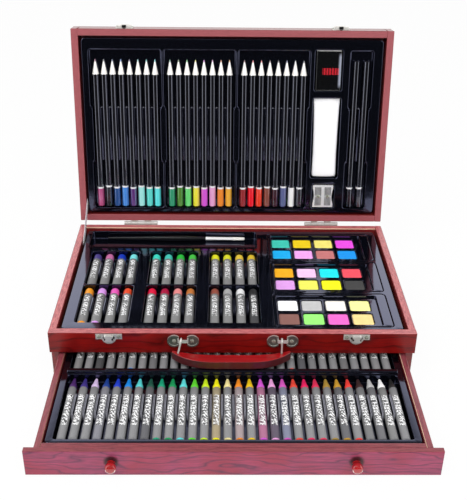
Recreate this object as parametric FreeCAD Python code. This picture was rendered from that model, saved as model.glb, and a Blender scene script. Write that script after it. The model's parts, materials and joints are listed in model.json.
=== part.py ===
import FreeCAD, Part
import math
import os

# A wooden art box: a case with a hinged lid over one drawer. Lengths are in millimetres.
# X runs left to right, Y front to back and Z up. The origin is the middle of the case's underside.
# Lid pieces are drawn with the lid shut and then turned about the hinge pins to the open pose.

V = FreeCAD.Vector
X_WAY = V(1, 0, 0)
Y_WAY = V(0, 1, 0)
Z_WAY = V(0, 0, 1)

# Case, lid and drawer boards
case_width = 370.0
case_depth = 230.0
case_height = 55.0
board = 8.0
ply = 3.0
rail_height = 24.3
lid_height = 24.0
lid_ply = 3.0
lid_seam = 0.3
lid_open_angle = 99.0
edge_round = 1.0

# Drawer, shown pulled out by drawer_out
drawer_out = 140.5
drawer_face_gap = 2.8
drawer_face_thickness = 6.6
drawer_face_lift = 0.6
drawer_board = 6.0
drawer_front_board = 5.5
drawer_back_board = 5.0
drawer_ply = 2.5
drawer_side_gap = 0.6
drawer_under_gap = 0.6
drawer_back_gap = 1.0
drawer_top_drop = 0.3

# Formed plastic trays
sheet = 1.0
tray_drop = 2.5
tray_gap = 3.0
lid_tray_gap = 2.6
drawer_tray_side_gap = 1.2
drawer_tray_end_gap = 2.6
tray_corner = 4.0
well_corner = 3.0
seat_gap = 0.2
rib_gap = 0.5

# Pencils in the lid, in groups that share the room left of the small things
pencil_flats = 6.9
pencil_cone = 17.0
pencil_lead_radius = 0.9
pencil_groups = 3
pencil_gap = 3.0
pencil_group_gap = 7.3
pencil_least_group_gap = 5.0
pencil_left_margin = 9.95
pencil_small_things_gap = 7.05
pencil_well_margin = 1.6
pencil_well_start_margin = 5.4
pencil_well_end_margin = 12.4
pencil_end_gap = 12.0
pencil_rib_start_share = 0.304
pencil_rib_end_share = 0.647
drawing_pencil_count = 2
drawing_pencil_gap = 5.0
drawing_pencil_margin = 13.05

# Eraser, paint tube and sharpener, in one column in the lid
small_things_gap = 10.55
small_well_margin = 1.4
eraser_width = 29.6
eraser_length = 45.7
eraser_thickness = 9.0
eraser_end_margin = 12.5
eraser_sleeve_length = 45.1
eraser_sleeve_skin = 0.4
eraser_bevel = 1.2
tube_width = 30.6
tube_thickness = 10.0
tube_crimp_length = 5.0
tube_crimp_thickness = 2.0
tube_sharpener_gap = 10.5
tube_eraser_gap = 10.4
tube_end_arc_radius = 75.0
sharpener_width = 24.7
sharpener_length = 27.9
sharpener_thickness = 10.5
sharpener_start_margin = 6.9
sharpener_bore_radius = 4.0
sharpener_small_bore_radius = 1.3
sharpener_bore_length = 24.0
sharpener_bore_pitch = 11.6
sharpener_waist = 1.6
blade_width = 8.0
blade_length = 23.0
blade_thickness = 0.7
blade_inset = 2.4
blade_screw_radius = 2.2
blade_screw_height = 0.9

# Oil pastels in the case's tray, in groups that share the room left of the palettes
pastel_radius = 5.0
pastel_round = 3.2
pastel_groups = 3
pastel_gap = 4.0
pastel_group_gap = 14.0
pastel_least_group_gap = 10.0
pastel_left_margin = 12.0
pastel_palette_gap = 14.75
pastel_trough_gap = 8.2
pastel_front_margin = 13.0
pastel_row_gap = 4.8
pastel_well_margin = 1.2
pastel_rib_share = 0.36
pastel_sink = 1.2

# Paint palettes and their cakes, which lie in a recess with a finger notch in its front rim
palette_width = 120.7
palette_thickness = 9.0
palette_count = 3
palette_gap = 5.0
palette_right_margin = 9.35
palette_front_margin = 4.8
palette_back_margin = 7.2
palette_corner = 4.0
palette_well_margin = 0.7
palette_sink = 0.3
palette_recess = 2.5
palette_rim = 3.2
palette_wide_rim = 10.2
palette_recess_corner = 2.0
notch_from_left = 47.05
notch_width = 20.0
notch_depth = 1.8
notch_corner = 1.2
cake_thickness = 5.0
cake_columns = 4
cake_rows = 2
cake_gap_x = 4.4
cake_gap_y = 5.9
cake_left_gap = 1.15
cake_right_gap = 8.15
cake_edge_gap = 5.35
cake_corner = 2.2
cake_well_margin = 0.5
cake_sink = 0.5

# Paint brush in its trough
trough_side_margin = 6.0
trough_palette_gap = 13.95
trough_back_margin = 2.5
trough_width = 40.5
trough_depth = 9.0
brush_back_gap = 6.0
brush_start_gap = 18.0
brush_end_gap = 13.0
brush_hair_length = 15.5
brush_ferrule_length = 32.5
brush_handle_tail_radius = 1.4
brush_handle_belly_radius = 3.2
brush_ferrule_radius = 2.1
brush_hair_half_width = 3.0
brush_hair_thickness = 2.4

# Crayons in the drawer, two rows that fill the tray
crayon_radius = 4.0
crayon_wrapper = 0.25
crayon_cone = 11.0
crayon_tip_radius = 1.1
crayon_bare = 5.0
crayon_gap = 2.76
crayon_least_side_margin = 4.0
crayon_front_margin = 7.5
crayon_back_margin = 3.3
crayon_row_gap = 12.3
crayon_well_margin = 2.4
crayon_well_end_margin = 1.3
crayon_rib_start_share = 0.376
crayon_rib_share = 0.315
crayon_sink = 1.0
bridge_height = 2.8
bridge_margin = 1.6

# Hinges
hinge_from_side = 74.0
hinge_width = 41.0
hinge_barrel_gap = 1.1
hinge_barrel_radius = 2.5
hinge_pin_radius = 1.0
hinge_leaf_height = 15.0
hinge_leaf_thickness = 0.9
hinge_knuckles = 5
hinge_knuckle_gap = 0.2
hinge_screws_per_leaf = 3
hinge_leaf_corner = 1.5

# Screws and their holes
screw_radius = 1.1
screw_length = 5.5
screw_head_radius = 2.2
screw_head_height = 0.8
screw_slot = 0.5
fit = 0.05

# Catches on the case's front
catch_from_side = 60.8
catch_width = 26.3
catch_top_drop = 0.7
catch_side_height = 6.0
catch_height = 11.6
catch_thickness = 1.0
catch_bulge_half_width = 7.0
boss_width = 9.0
boss_height = 8.2
boss_proud = 4.4
boss_round = 1.6
catch_screw_share = 0.38

# Hasps on the lid's front
hasp_plate_width = 19.3
hasp_plate_start_w = 2.6
hasp_plate_height = 13.0
hasp_plate_thickness = 1.0
hasp_axis_rise = 0.9
hasp_barrel_radius = 1.4
hasp_pin_radius = 0.6
hasp_tongue_width = 13.0
hasp_tongue_length = 15.6
hasp_tongue_thickness = 1.0
hasp_window_start = 4.0
hasp_window_end = 13.4
hasp_window_clearance = 0.7
hasp_knuckle_width = 4.6
hasp_corner = 2.0

# Handle, its brackets and wire eyes
handle_past_bracket = 9.8
handle_shift = -1.5
handle_thickness = 8.8
handle_rest_gap = 0.4
handle_tip_out = 3.4
handle_tip_depth = 3.4
handle_inner_out = 11.2
handle_outer_out = 23.7
handle_shoulder_inset = 23.8
handle_shoulder_out = 21.3
handle_end_out = 14.5
handle_end_inset = 8.8
handle_inner_shoulder_out = 9.8
handle_inner_end_out = 6.4
handle_edge_round = 0.8
handle_tip_round = 1.2
handle_hole_radius = 1.4
handle_hole_depth = 6.0
left_eye_shift = -2.3
left_eye_lean = 12.0
right_eye_shift = -1.1
right_eye_lean = 0
bracket_x = 50.0
bracket_drop = 8.7
bracket_lobe_radius = 6.9
bracket_lobe_offset = 8.95
bracket_neck_height = 8.4
bracket_thickness = 0.9
bracket_rim_width = 1.5
bracket_rim_height = 0.9
strap_width = 8.4
strap_height = 3.2
strap_thickness = 1.2
eye_axis_out = 5.4
eye_rise = 2.5
eye_radius = 3.0
wire_radius = 0.9

# Knobs on the drawer's face
knob_from_side = 76.8
knob_rise = 0.35
knob_radius = 5.1
knob_stem_radius = 4.0
knob_stem_length = 1.8
knob_length = 9.8
knob_dome = 2.4
knob_bore_depth = 5.0

# Ribbon stay at the left
ribbon_width = 10.0
ribbon_thickness = 0.7
ribbon_lid_u = 20.0
ribbon_lid_w = 4.0
ribbon_case_back_gap = 27.0
ribbon_case_drop = 5.5
ribbon_tail = 4.5
tack_radius = 1.9
tack_height = 0.9
tack_length = 5.0

# The case and the drawer, worked out from the sizes above
half_width = case_width / 2
half_depth = case_depth / 2
inner_half_width = half_width - board
inner_back_y = half_depth - board
inner_front_y = -half_depth + board
rail_bottom_z = case_height - rail_height
floor_top_z = rail_bottom_z + ply
lid_rim_z = case_height + lid_seam
hinge_axis_y = half_depth + hinge_barrel_radius + hinge_barrel_gap
hinge_axis_z = case_height + lid_seam / 2
overrun = board
drawer_face_y = -half_depth - drawer_out
drawer_box_front_y = drawer_face_y + drawer_face_thickness
drawer_box_length = case_depth - drawer_face_thickness - board - drawer_back_gap
drawer_box_back_y = drawer_box_front_y + drawer_box_length
drawer_half_width = inner_half_width - drawer_side_gap
drawer_inner_half = drawer_half_width - drawer_board
drawer_bottom_z = ply + drawer_under_gap
drawer_face_top_z = rail_bottom_z - drawer_face_gap
drawer_top_z = drawer_face_top_z - drawer_top_drop
drawer_inside_front_y = drawer_box_front_y + drawer_front_board
drawer_inside_back_y = drawer_box_back_y - drawer_back_board

# The case's tray
tray_half_width = inner_half_width - tray_gap
tray_front_y = inner_front_y + tray_gap
tray_back_y = inner_back_y - tray_gap
case_tray_top_z = case_height - tray_drop
palette_right_x = tray_half_width - palette_right_margin
palette_left_x = palette_right_x - palette_width
palette_room = tray_back_y - tray_front_y - palette_front_margin - palette_back_margin
palette_depth = (palette_room - (palette_count - 1) * palette_gap) / palette_count
palette_pitch = palette_depth + palette_gap
first_palette_y = tray_front_y + palette_front_margin + palette_depth / 2
notch_x = palette_left_x + notch_from_left
cake_room_x = palette_width - palette_rim - palette_wide_rim - cake_left_gap - cake_right_gap
cake_room_y = palette_depth - 2 * palette_rim - 2 * cake_edge_gap
cake_width = (cake_room_x - (cake_columns - 1) * cake_gap_x) / cake_columns
cake_depth = (cake_room_y - (cake_rows - 1) * cake_gap_y) / cake_rows
cake_pitch_x = cake_width + cake_gap_x
cake_pitch_y = cake_depth + cake_gap_y
first_cake_x = palette_left_x + palette_rim + cake_left_gap + cake_width / 2
trough_start_x = -tray_half_width + trough_side_margin
trough_end_x = palette_left_x - trough_palette_gap
trough_back_y = tray_back_y - trough_back_margin
trough_front_y = trough_back_y - trough_width
brush_y = trough_back_y - brush_back_gap
brush_handle_start_x = trough_start_x + brush_start_gap
brush_hair_end_x = trough_end_x - brush_end_gap
brush_hair_start_x = brush_hair_end_x - brush_hair_length
brush_ferrule_start_x = brush_hair_start_x - brush_ferrule_length
pastel_pitch = 2 * pastel_radius + pastel_gap
pastel_well_edge = pastel_radius + pastel_well_margin
first_pastel_x = -tray_half_width + pastel_left_margin + pastel_well_edge
pastel_room = palette_left_x - pastel_palette_gap - first_pastel_x + pastel_well_edge
pastel_group_pitch = (pastel_room + pastel_group_gap) / pastel_groups
pastel_group_room = pastel_group_pitch - pastel_least_group_gap - 2 * pastel_well_edge
pastel_count = int(pastel_group_room / pastel_pitch) + 1
pastel_back_y = trough_front_y - pastel_trough_gap
pastel_length = (pastel_back_y - tray_front_y - pastel_front_margin - pastel_row_gap) / 2
pastel_row_pitch = pastel_length + pastel_row_gap

# The drawer's tray
drawer_tray_half_width = drawer_inner_half - drawer_tray_side_gap
drawer_tray_front_y = drawer_inside_front_y + drawer_tray_end_gap
drawer_tray_back_y = drawer_inside_back_y - seat_gap
drawer_tray_top_z = drawer_top_z - tray_drop
crayon_pitch = 2 * crayon_radius + crayon_gap
crayon_wax_radius = crayon_radius - crayon_wrapper
crayon_well_edge = crayon_radius + crayon_well_margin
crayon_room = 2 * (drawer_tray_half_width - crayon_least_side_margin - crayon_well_edge)
crayon_count = int(crayon_room / crayon_pitch) + 1
crayon_front_y = drawer_tray_front_y + crayon_front_margin
crayon_length = (drawer_tray_back_y - crayon_back_margin - crayon_row_gap - crayon_front_y) / 2
crayon_row_pitch = crayon_length + crayon_row_gap

# The lid's tray: u runs from the lid's hinge edge, w from its rim into the lid
lid_tray_half_width = inner_half_width - lid_tray_gap
lid_tray_start_u = board + lid_tray_gap
lid_tray_end_u = case_depth - lid_tray_start_u
lid_tray_w = tray_drop
lid_inside_w = lid_height - lid_ply
pencil_pitch = pencil_flats + pencil_gap
pencil_well_edge = pencil_flats / 2 + pencil_well_margin
drawing_pencil_pitch = pencil_flats + drawing_pencil_gap
drawing_pencil_reach = (drawing_pencil_count - 1) * drawing_pencil_pitch
drawing_pencil_x = lid_tray_half_width - drawing_pencil_margin - pencil_well_edge - drawing_pencil_reach
small_things_edge = max(eraser_width, tube_width, sharpener_width) / 2 + small_well_margin
small_things_x = drawing_pencil_x - pencil_well_edge - small_things_gap - small_things_edge
first_pencil_x = -lid_tray_half_width + pencil_left_margin + pencil_well_edge
pencil_room_end_x = small_things_x - small_things_edge - pencil_small_things_gap
pencil_room = pencil_room_end_x - first_pencil_x + pencil_well_edge
pencil_group_pitch = (pencil_room + pencil_group_gap) / pencil_groups
pencil_group_room = pencil_group_pitch - pencil_least_group_gap - 2 * pencil_well_edge
pencil_count = int(pencil_group_room / pencil_pitch) + 1
pencil_well_start_u = lid_tray_start_u + pencil_well_start_margin
pencil_well_end_u = lid_tray_end_u - pencil_well_end_margin
pencil_well_length = pencil_well_end_u - pencil_well_start_u
pencil_start_u = pencil_well_start_u + pencil_well_margin
pencil_length = pencil_well_end_u - pencil_end_gap - pencil_start_u
pencil_rib_start_u = pencil_well_start_u + pencil_rib_start_share * pencil_well_length
pencil_rib_end_u = pencil_well_start_u + pencil_rib_end_share * pencil_well_length
sharpener_start_u = lid_tray_start_u + sharpener_start_margin
eraser_start_u = lid_tray_end_u - eraser_end_margin - eraser_length
tube_start_u = sharpener_start_u + sharpener_length + tube_sharpener_gap
tube_length = eraser_start_u - tube_eraser_gap - tube_start_u

# Places of the hardware
hinge_x = half_width - hinge_from_side
catch_x = half_width - catch_from_side
knob_x = half_width - knob_from_side
knob_z = (drawer_face_lift + drawer_face_top_z) / 2 + knob_rise
hasp_axis_out = hasp_plate_thickness + hasp_barrel_radius + seat_gap
hasp_axis_y = -half_depth - hasp_axis_out
hasp_axis_w = hasp_plate_start_w + hasp_axis_rise
bracket_z = case_height - bracket_drop
eye_axis_y = -half_depth - eye_axis_out
eye_axis_z = bracket_z + eye_rise
left_eye_x = -bracket_x + left_eye_shift
right_eye_x = bracket_x + right_eye_shift
handle_half_length = bracket_x + handle_past_bracket
handle_end_x = handle_half_length - handle_end_inset
handle_shoulder_x = handle_half_length - handle_shoulder_inset
handle_bottom_z = drawer_face_top_z + handle_rest_gap
ribbon_case_y = inner_back_y - ribbon_case_back_gap
ribbon_case_z = case_height - ribbon_case_drop


def slab(x0, x1, y0, y1, z0, z1):
    return Part.makeBox(x1 - x0, y1 - y0, z1 - z0, V(x0, y0, z0))


def rounded(shape, radius, way):
    """Round the edges of a box that run along way."""
    edges = [e for e in shape.Edges if abs(abs(e.tangentAt(e.FirstParameter).dot(way)) - 1) < 1e-6]
    return shape.makeFillet(radius, edges)


def rounded_slab(x0, x1, y0, y1, z0, z1, radius, way=Z_WAY):
    return rounded(slab(x0, x1, y0, y1, z0, z1), radius, way)


def rod(radius, start, end):
    way = end.sub(start)
    return Part.makeCylinder(radius, way.Length, start, way)


def turned(outline, start, way):
    """A turned piece: outline is a list of (distance along, radius), placed from start along way."""
    points = [V(along, radius, 0) for along, radius in outline]
    points = [V(outline[0][0], 0, 0)] + points + [V(outline[-1][0], 0, 0)]
    tidy = [p for i, p in enumerate(points) if i == 0 or p.sub(points[i - 1]).Length > 0]
    face = Part.Face(Part.makePolygon(tidy + [tidy[0]]))
    solid = face.revolve(V(0, 0, 0), X_WAY, 360)
    solid.Placement = FreeCAD.Placement(start, FreeCAD.Rotation(X_WAY, way))
    return solid


def joined(shapes):
    shapes = list(shapes)
    return shapes[0].multiFuse(shapes[1:]).removeSplitter()


def moved(shape, x=0, y=0, z=0):
    copy = shape.copy()
    copy.translate(V(x, y, z))
    return copy


def mirrored(shape):
    return shape.mirror(V(0, 0, 0), X_WAY)


def opened(shape):
    """Turn a piece of the shut lid to where it is with the lid open."""
    copy = shape.copy()
    copy.rotate(V(0, hinge_axis_y, hinge_axis_z), X_WAY, -lid_open_angle)
    return copy


def lid_slab(x0, x1, u0, u1, w0, w1, radius=0):
    """A block in the shut lid, from its hinge-edge and rim distances."""
    y0, y1 = half_depth - u1, half_depth - u0
    z0, z1 = lid_rim_z + w0, lid_rim_z + w1
    if radius:
        return rounded_slab(x0, x1, y0, y1, z0, z1, radius)
    return slab(x0, x1, y0, y1, z0, z1)


def save(name, shapes):
    shapes = shapes if isinstance(shapes, list) else [shapes]
    solids = [s for shape in shapes for s in shape.Solids]
    Part.makeCompound(solids).exportStep("parts/" + name + ".step")


# Screws

def screw(place, way, length=screw_length):
    """A round-headed screw whose head stands on place, with its shank running along way."""
    head = turned([(-screw_head_height, screw_head_radius / 2), (-screw_head_height / 2, screw_head_radius),
                   (0, screw_head_radius), (0, screw_radius), (length - screw_radius, screw_radius),
                   (length, screw_radius / 4)], place, way)
    groove = Part.makeBox(screw_slot, 2 * screw_head_radius, screw_head_height / 2,
                          V(-screw_slot / 2, -screw_head_radius, 0))
    groove.Placement = FreeCAD.Placement(place.sub(way * screw_head_height),
                                         FreeCAD.Rotation(Z_WAY, way)).multiply(groove.Placement)
    return head.cut(groove)


def screw_holes(shape, screws, length=screw_length):
    """Drill a piece for a list of (place, way) screws."""
    tools = [rod(screw_radius + fit, place.sub(way * board), place.add(way * (length + fit)))
             for place, way in screws]
    return shape.cut(Part.makeCompound(tools))


# Places of the screws, from the pieces they hold

def hinge_screw_columns():
    step = hinge_width / hinge_screws_per_leaf
    return [side * hinge_x + (i - (hinge_screws_per_leaf - 1) / 2) * step
            for side in (-1, 1) for i in range(hinge_screws_per_leaf)]


def case_hinge_screws():
    z = case_height - hinge_barrel_radius - hinge_leaf_height / 2
    return [(V(x, half_depth + hinge_leaf_thickness, z), -Y_WAY) for x in hinge_screw_columns()]


def lid_hinge_screws():
    z = lid_rim_z + hinge_barrel_radius + hinge_leaf_height / 2
    return [(V(x, half_depth + hinge_leaf_thickness, z), -Y_WAY) for x in hinge_screw_columns()]


def catch_screws():
    z = case_height - catch_top_drop - catch_side_height / 2
    y = -half_depth - catch_thickness
    return [(V(side * catch_x + end * catch_screw_share * catch_width, y, z), Y_WAY)
            for side in (-1, 1) for end in (-1, 1)]


def hasp_screws():
    z = lid_rim_z + hasp_plate_start_w + hasp_plate_height * 3 / 4
    y = -half_depth - hasp_plate_thickness
    reach = hasp_tongue_width / 2 + (hasp_plate_width - hasp_tongue_width) / 4
    return [(V(side * catch_x + end * reach, y, z), Y_WAY) for side in (-1, 1) for end in (-1, 1)]


def bracket_screws():
    y = -half_depth - bracket_thickness
    return [(V(side * bracket_x + end * bracket_lobe_offset, y, bracket_z), Y_WAY)
            for side in (-1, 1) for end in (-1, 1)]


def knob_screws():
    return [(V(side * knob_x, drawer_inside_front_y, knob_z), -Y_WAY) for side in (-1, 1)]


def ribbon_ends():
    """The ribbon's two tack points: on the case's left wall, and on the shut lid's left wall."""
    case_end = V(-inner_half_width, ribbon_case_y, ribbon_case_z)
    lid_end = V(-inner_half_width, half_depth - ribbon_lid_u, lid_rim_z + ribbon_lid_w)
    return case_end, lid_end


def tack(place):
    return turned([(-tack_height, tack_radius / 2), (-tack_height / 2, tack_radius), (0, tack_radius),
                   (0, screw_radius), (tack_length, screw_radius / 2)], place, -X_WAY)


def tack_hole(place):
    return rod(screw_radius + fit, place.add(X_WAY * board), place.sub(X_WAY * (tack_length + fit)))


# Case boards

def case_side():
    """The left side board, with its front end stepped back behind the rail and the drawer's face."""
    side = slab(-half_width, -inner_half_width, -half_depth + drawer_face_thickness, half_depth, ply,
                case_height)
    seat = slab(-half_width - overrun, -inner_half_width + overrun, -half_depth - overrun, inner_front_y,
                rail_bottom_z, case_height + overrun)
    return side.cut(seat)


def case_back():
    back = slab(-inner_half_width, inner_half_width, inner_back_y, half_depth, ply, case_height)
    return screw_holes(back, case_hinge_screws())


def case_rail():
    rail = slab(-half_width, half_width, -half_depth, inner_front_y, rail_bottom_z, case_height)
    front_edges = [e for e in rail.Edges if abs(e.BoundBox.YMax + half_depth) < edge_round / 10
                   and abs(e.BoundBox.ZMax - rail_bottom_z) < edge_round / 10]
    return screw_holes(rail.makeFillet(edge_round, front_edges), catch_screws() + bracket_screws())


def case_bottom():
    return slab(-half_width, half_width, -half_depth + drawer_face_thickness, half_depth, 0, ply)


def compartment_floor():
    return slab(-inner_half_width, inner_half_width, inner_front_y, inner_back_y, rail_bottom_z, floor_top_z)


# Formed trays: a top sheet with a skirt, and pockets with walls of the same sheet

def formed_tray(x0, x1, y0, y1, base_z, top_z, wells, corner=tray_corner):
    """wells is a list of (x0, x1, y0, y1, floor height, corner radius), measured inside the pocket."""
    body = rounded_slab(x0, x1, y0, y1, base_z, top_z, corner)
    under = rounded_slab(x0 + sheet, x1 - sheet, y0 + sheet, y1 - sheet, base_z - overrun, top_z - sheet,
                         corner - sheet)
    shells = [rounded_slab(a - sheet, b + sheet, c - sheet, d + sheet, max(floor - sheet, base_z), top_z,
                           r + sheet) for a, b, c, d, floor, r in wells]
    pockets = [rounded_slab(a, b, c, d, floor, top_z + overrun, r) for a, b, c, d, floor, r in wells]
    return joined([body.cut(under)] + shells).cut(Part.makeCompound(pockets))


def row_ribs(first_x, pitch, count, width, y0, y1, z0, z1):
    """The upright ribs between the sticks of one row."""
    middles = [first_x + (i + 1 / 2) * pitch for i in range(count - 1)]
    return [rounded_slab(x - width / 2, x + width / 2, y0, y1, z0, z1, width / 3) for x in middles]


def pastel_floor_z():
    return case_tray_top_z - pastel_sink - 2 * pastel_radius - seat_gap


def palette_well_floor_z():
    return case_tray_top_z - palette_sink - palette_thickness


def case_tray():
    wells = []
    ribs = []
    reach = (pastel_count - 1) * pastel_pitch
    edge = pastel_well_edge
    for row in range(2):
        back = pastel_back_y - row * pastel_row_pitch
        front = back - pastel_length
        for group in range(pastel_groups):
            x = first_pastel_x + group * pastel_group_pitch
            wells.append((x - edge, x + reach + edge, front - pastel_well_margin, back + pastel_well_margin,
                          pastel_floor_z(), well_corner))
            middle = (front + back) / 2
            half = pastel_rib_share * pastel_length / 2
            ribs += row_ribs(x, pastel_pitch, pastel_count, pastel_pitch - 2 * (pastel_radius + rib_gap),
                             middle - half, middle + half, pastel_floor_z() - sheet / 2,
                             case_tray_top_z - pastel_sink)
    for i in range(palette_count):
        y = first_palette_y + i * palette_pitch
        half_y = palette_depth / 2 + palette_well_margin
        wells.append((palette_left_x - palette_well_margin, palette_right_x + palette_well_margin, y - half_y,
                      y + half_y, palette_well_floor_z(), palette_corner + palette_well_margin))
    wells.append((trough_start_x, trough_end_x, trough_front_y, trough_back_y,
                  case_tray_top_z - trough_depth, well_corner))
    tray = formed_tray(-tray_half_width, tray_half_width, tray_front_y, tray_back_y, floor_top_z,
                       case_tray_top_z, wells)
    return joined([tray] + ribs)


def lid_tray():
    """Drawn upside down at first, with w upwards from its base, and then turned into the lid."""
    depth = lid_inside_w - lid_tray_w
    pencil_floor = depth - seat_gap - pencil_flats - seat_gap
    wells = []
    ribs = []
    edge = pencil_well_edge
    reach = (pencil_count - 1) * pencil_pitch
    for group in range(pencil_groups):
        x = first_pencil_x + group * pencil_group_pitch
        wells.append((x - edge, x + reach + edge, pencil_well_start_u, pencil_well_end_u, pencil_floor,
                      well_corner))
        width = pencil_pitch - pencil_flats - 2 * rib_gap
        ribs += row_ribs(x, pencil_pitch, pencil_count, width, pencil_rib_start_u, pencil_rib_end_u,
                         pencil_floor - sheet / 2, depth - sheet)
    x = drawing_pencil_x
    wells.append((x - edge, x + drawing_pencil_reach + edge, pencil_well_start_u, pencil_well_end_u,
                  pencil_floor, well_corner))
    ribs += row_ribs(x, drawing_pencil_pitch, drawing_pencil_count,
                     drawing_pencil_pitch - pencil_flats - 2 * rib_gap, pencil_rib_start_u,
                     pencil_rib_end_u, pencil_floor - sheet / 2, depth - sheet)
    for width, start, length, thickness in (
            (eraser_width, eraser_start_u, eraser_length, eraser_thickness),
            (tube_width, tube_start_u, tube_length, tube_thickness),
            (sharpener_width, sharpener_start_u, sharpener_length, sharpener_thickness)):
        half = width / 2 + small_well_margin
        floor = depth - seat_gap - thickness - seat_gap
        wells.append((small_things_x - half, small_things_x + half, start - small_well_margin,
                      start + length + small_well_margin, floor, well_corner))
    tray = formed_tray(-lid_tray_half_width, lid_tray_half_width, lid_tray_start_u, lid_tray_end_u, 0, depth,
                       wells)
    tray = joined([tray] + ribs)
    return opened(in_lid(tray))


def in_lid(shape):
    """Take a piece drawn with u along Y and its base at Z zero to its place in the shut lid."""
    copy = shape.copy()
    flip = FreeCAD.Placement(V(0, half_depth, lid_rim_z + lid_inside_w), FreeCAD.Rotation(X_WAY, 180))
    copy.Placement = flip.multiply(copy.Placement)
    return copy


def drawer_tray():
    wells = []
    ribs = []
    first_x = -(crayon_count - 1) * crayon_pitch / 2
    edge = crayon_well_edge
    floor = drawer_tray_top_z - crayon_sink - 2 * crayon_radius - seat_gap
    width = crayon_pitch - 2 * (crayon_radius + rib_gap)
    for row in range(2):
        front = crayon_front_y + row * crayon_row_pitch
        wells.append((first_x - edge, -first_x + edge, front - crayon_well_margin,
                      front + crayon_length + crayon_well_end_margin, floor, well_corner))
        rib_start = front + crayon_rib_start_share * crayon_length
        ribs += row_ribs(first_x, crayon_pitch, crayon_count, width, rib_start,
                         rib_start + crayon_rib_share * crayon_length, floor - sheet / 2,
                         drawer_tray_top_z - crayon_sink / 2)
    bridge_half = drawer_tray_half_width - tray_corner
    bridge = rounded_slab(-bridge_half, bridge_half,
                          crayon_front_y + crayon_length + crayon_well_end_margin + bridge_margin,
                          crayon_front_y + crayon_row_pitch - crayon_well_margin - bridge_margin,
                          drawer_tray_top_z - sheet, drawer_tray_top_z + bridge_height, bridge_margin, X_WAY)
    tray = formed_tray(-drawer_tray_half_width, drawer_tray_half_width, drawer_tray_front_y,
                       drawer_tray_back_y, drawer_bottom_z + drawer_ply, drawer_tray_top_z, wells)
    return joined([tray, bridge] + ribs)


# Things in the case's tray

def pastels(row):
    stick = turned([(0, pastel_radius - pastel_round), (pastel_round / 3, pastel_radius - pastel_round / 3),
                    (pastel_round, pastel_radius), (pastel_length - pastel_round, pastel_radius),
                    (pastel_length - pastel_round / 3, pastel_radius - pastel_round / 3),
                    (pastel_length, pastel_radius - pastel_round)],
                   V(0, pastel_back_y - row * pastel_row_pitch - pastel_length,
                     pastel_floor_z() + seat_gap + pastel_radius), Y_WAY)
    return [moved(stick, x=first_pastel_x + group * pastel_group_pitch + i * pastel_pitch)
            for group in range(pastel_groups) for i in range(pastel_count)]


def cake_places():
    for i in range(palette_count):
        for row in range(cake_rows):
            for column in range(cake_columns):
                y = first_palette_y + i * palette_pitch + (row - (cake_rows - 1) / 2) * cake_pitch_y
                yield first_cake_x + column * cake_pitch_x, y


def palette_top_z():
    return case_tray_top_z - palette_sink + seat_gap


def palettes():
    plates = []
    top = palette_top_z()
    left = palette_left_x
    right = palette_right_x
    for i in range(palette_count):
        front = first_palette_y + i * palette_pitch - palette_depth / 2
        back = front + palette_depth
        plate = rounded_slab(left, right, front, back, top - palette_thickness, top, palette_corner)
        recess = rounded_slab(left + palette_rim, right - palette_wide_rim, front + palette_rim,
                              back - palette_rim, top - palette_recess, top + overrun, palette_recess_corner)
        notch = rounded_slab(notch_x - notch_width / 2, notch_x + notch_width / 2, front - overrun,
                             front + palette_rim + palette_recess_corner, top - notch_depth, top + overrun,
                             notch_corner, Y_WAY)
        plates.append(plate.cut(recess).cut(notch))
    half_x = cake_width / 2 + cake_well_margin
    half_y = cake_depth / 2 + cake_well_margin
    pockets = Part.makeCompound([rounded_slab(x - half_x, x + half_x, y - half_y, y + half_y,
                                              cake_top_z() - cake_thickness - seat_gap, top + overrun,
                                              cake_corner + cake_well_margin) for x, y in cake_places()])
    return [plate.cut(pockets) for plate in plates]


def cake_top_z():
    return palette_top_z() - palette_recess - cake_sink


def cakes():
    top = cake_top_z()
    cake = rounded_slab(-cake_width / 2, cake_width / 2, -cake_depth / 2, cake_depth / 2,
                        top - cake_thickness, top, cake_corner)
    rim = [e for e in cake.Edges if e.BoundBox.ZMin > top - cake_thickness / 10]
    cake = cake.makeFillet(cake_sink, rim)
    return [moved(cake, x=x, y=y) for x, y in cake_places()]


def brush_axis_z():
    return case_tray_top_z - trough_depth + seat_gap + brush_handle_belly_radius


def brush_handle():
    length = brush_ferrule_start_x - brush_handle_start_x
    outline = [(0, brush_handle_tail_radius / 2), (brush_handle_tail_radius, brush_handle_tail_radius),
               (length * 2 / 3, brush_handle_belly_radius), (length * 4 / 5, brush_handle_belly_radius),
               (length, brush_ferrule_radius)]
    return turned(outline, V(brush_handle_start_x, brush_y, brush_axis_z()), X_WAY)


def brush_ferrule():
    origin = V(brush_ferrule_start_x, brush_y, brush_axis_z())
    start = Part.Wire(Part.makeCircle(brush_ferrule_radius, origin, X_WAY))
    tip = Part.Ellipse(V(0, 0, 0), brush_hair_half_width, brush_hair_thickness / 2).toShape()
    tip.Placement = FreeCAD.Placement(V(brush_hair_start_x, brush_y, brush_axis_z()),
                                      FreeCAD.Rotation(V(0, 1, 0), V(0, 0, 1), V(1, 0, 0), "ZXY"))
    return Part.makeLoft([start, Part.Wire(tip)], True, True)


def brush_hair():
    half = brush_hair_thickness / 2
    z = brush_axis_z()
    blade = slab(brush_hair_start_x, brush_hair_end_x, brush_y - brush_hair_half_width,
                 brush_y + brush_hair_half_width, z - half, z + half)
    return rounded(blade, half * 2 / 3, X_WAY)


# Hinges

def on_hinge(x):
    return V(x, hinge_axis_y, hinge_axis_z)


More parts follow.
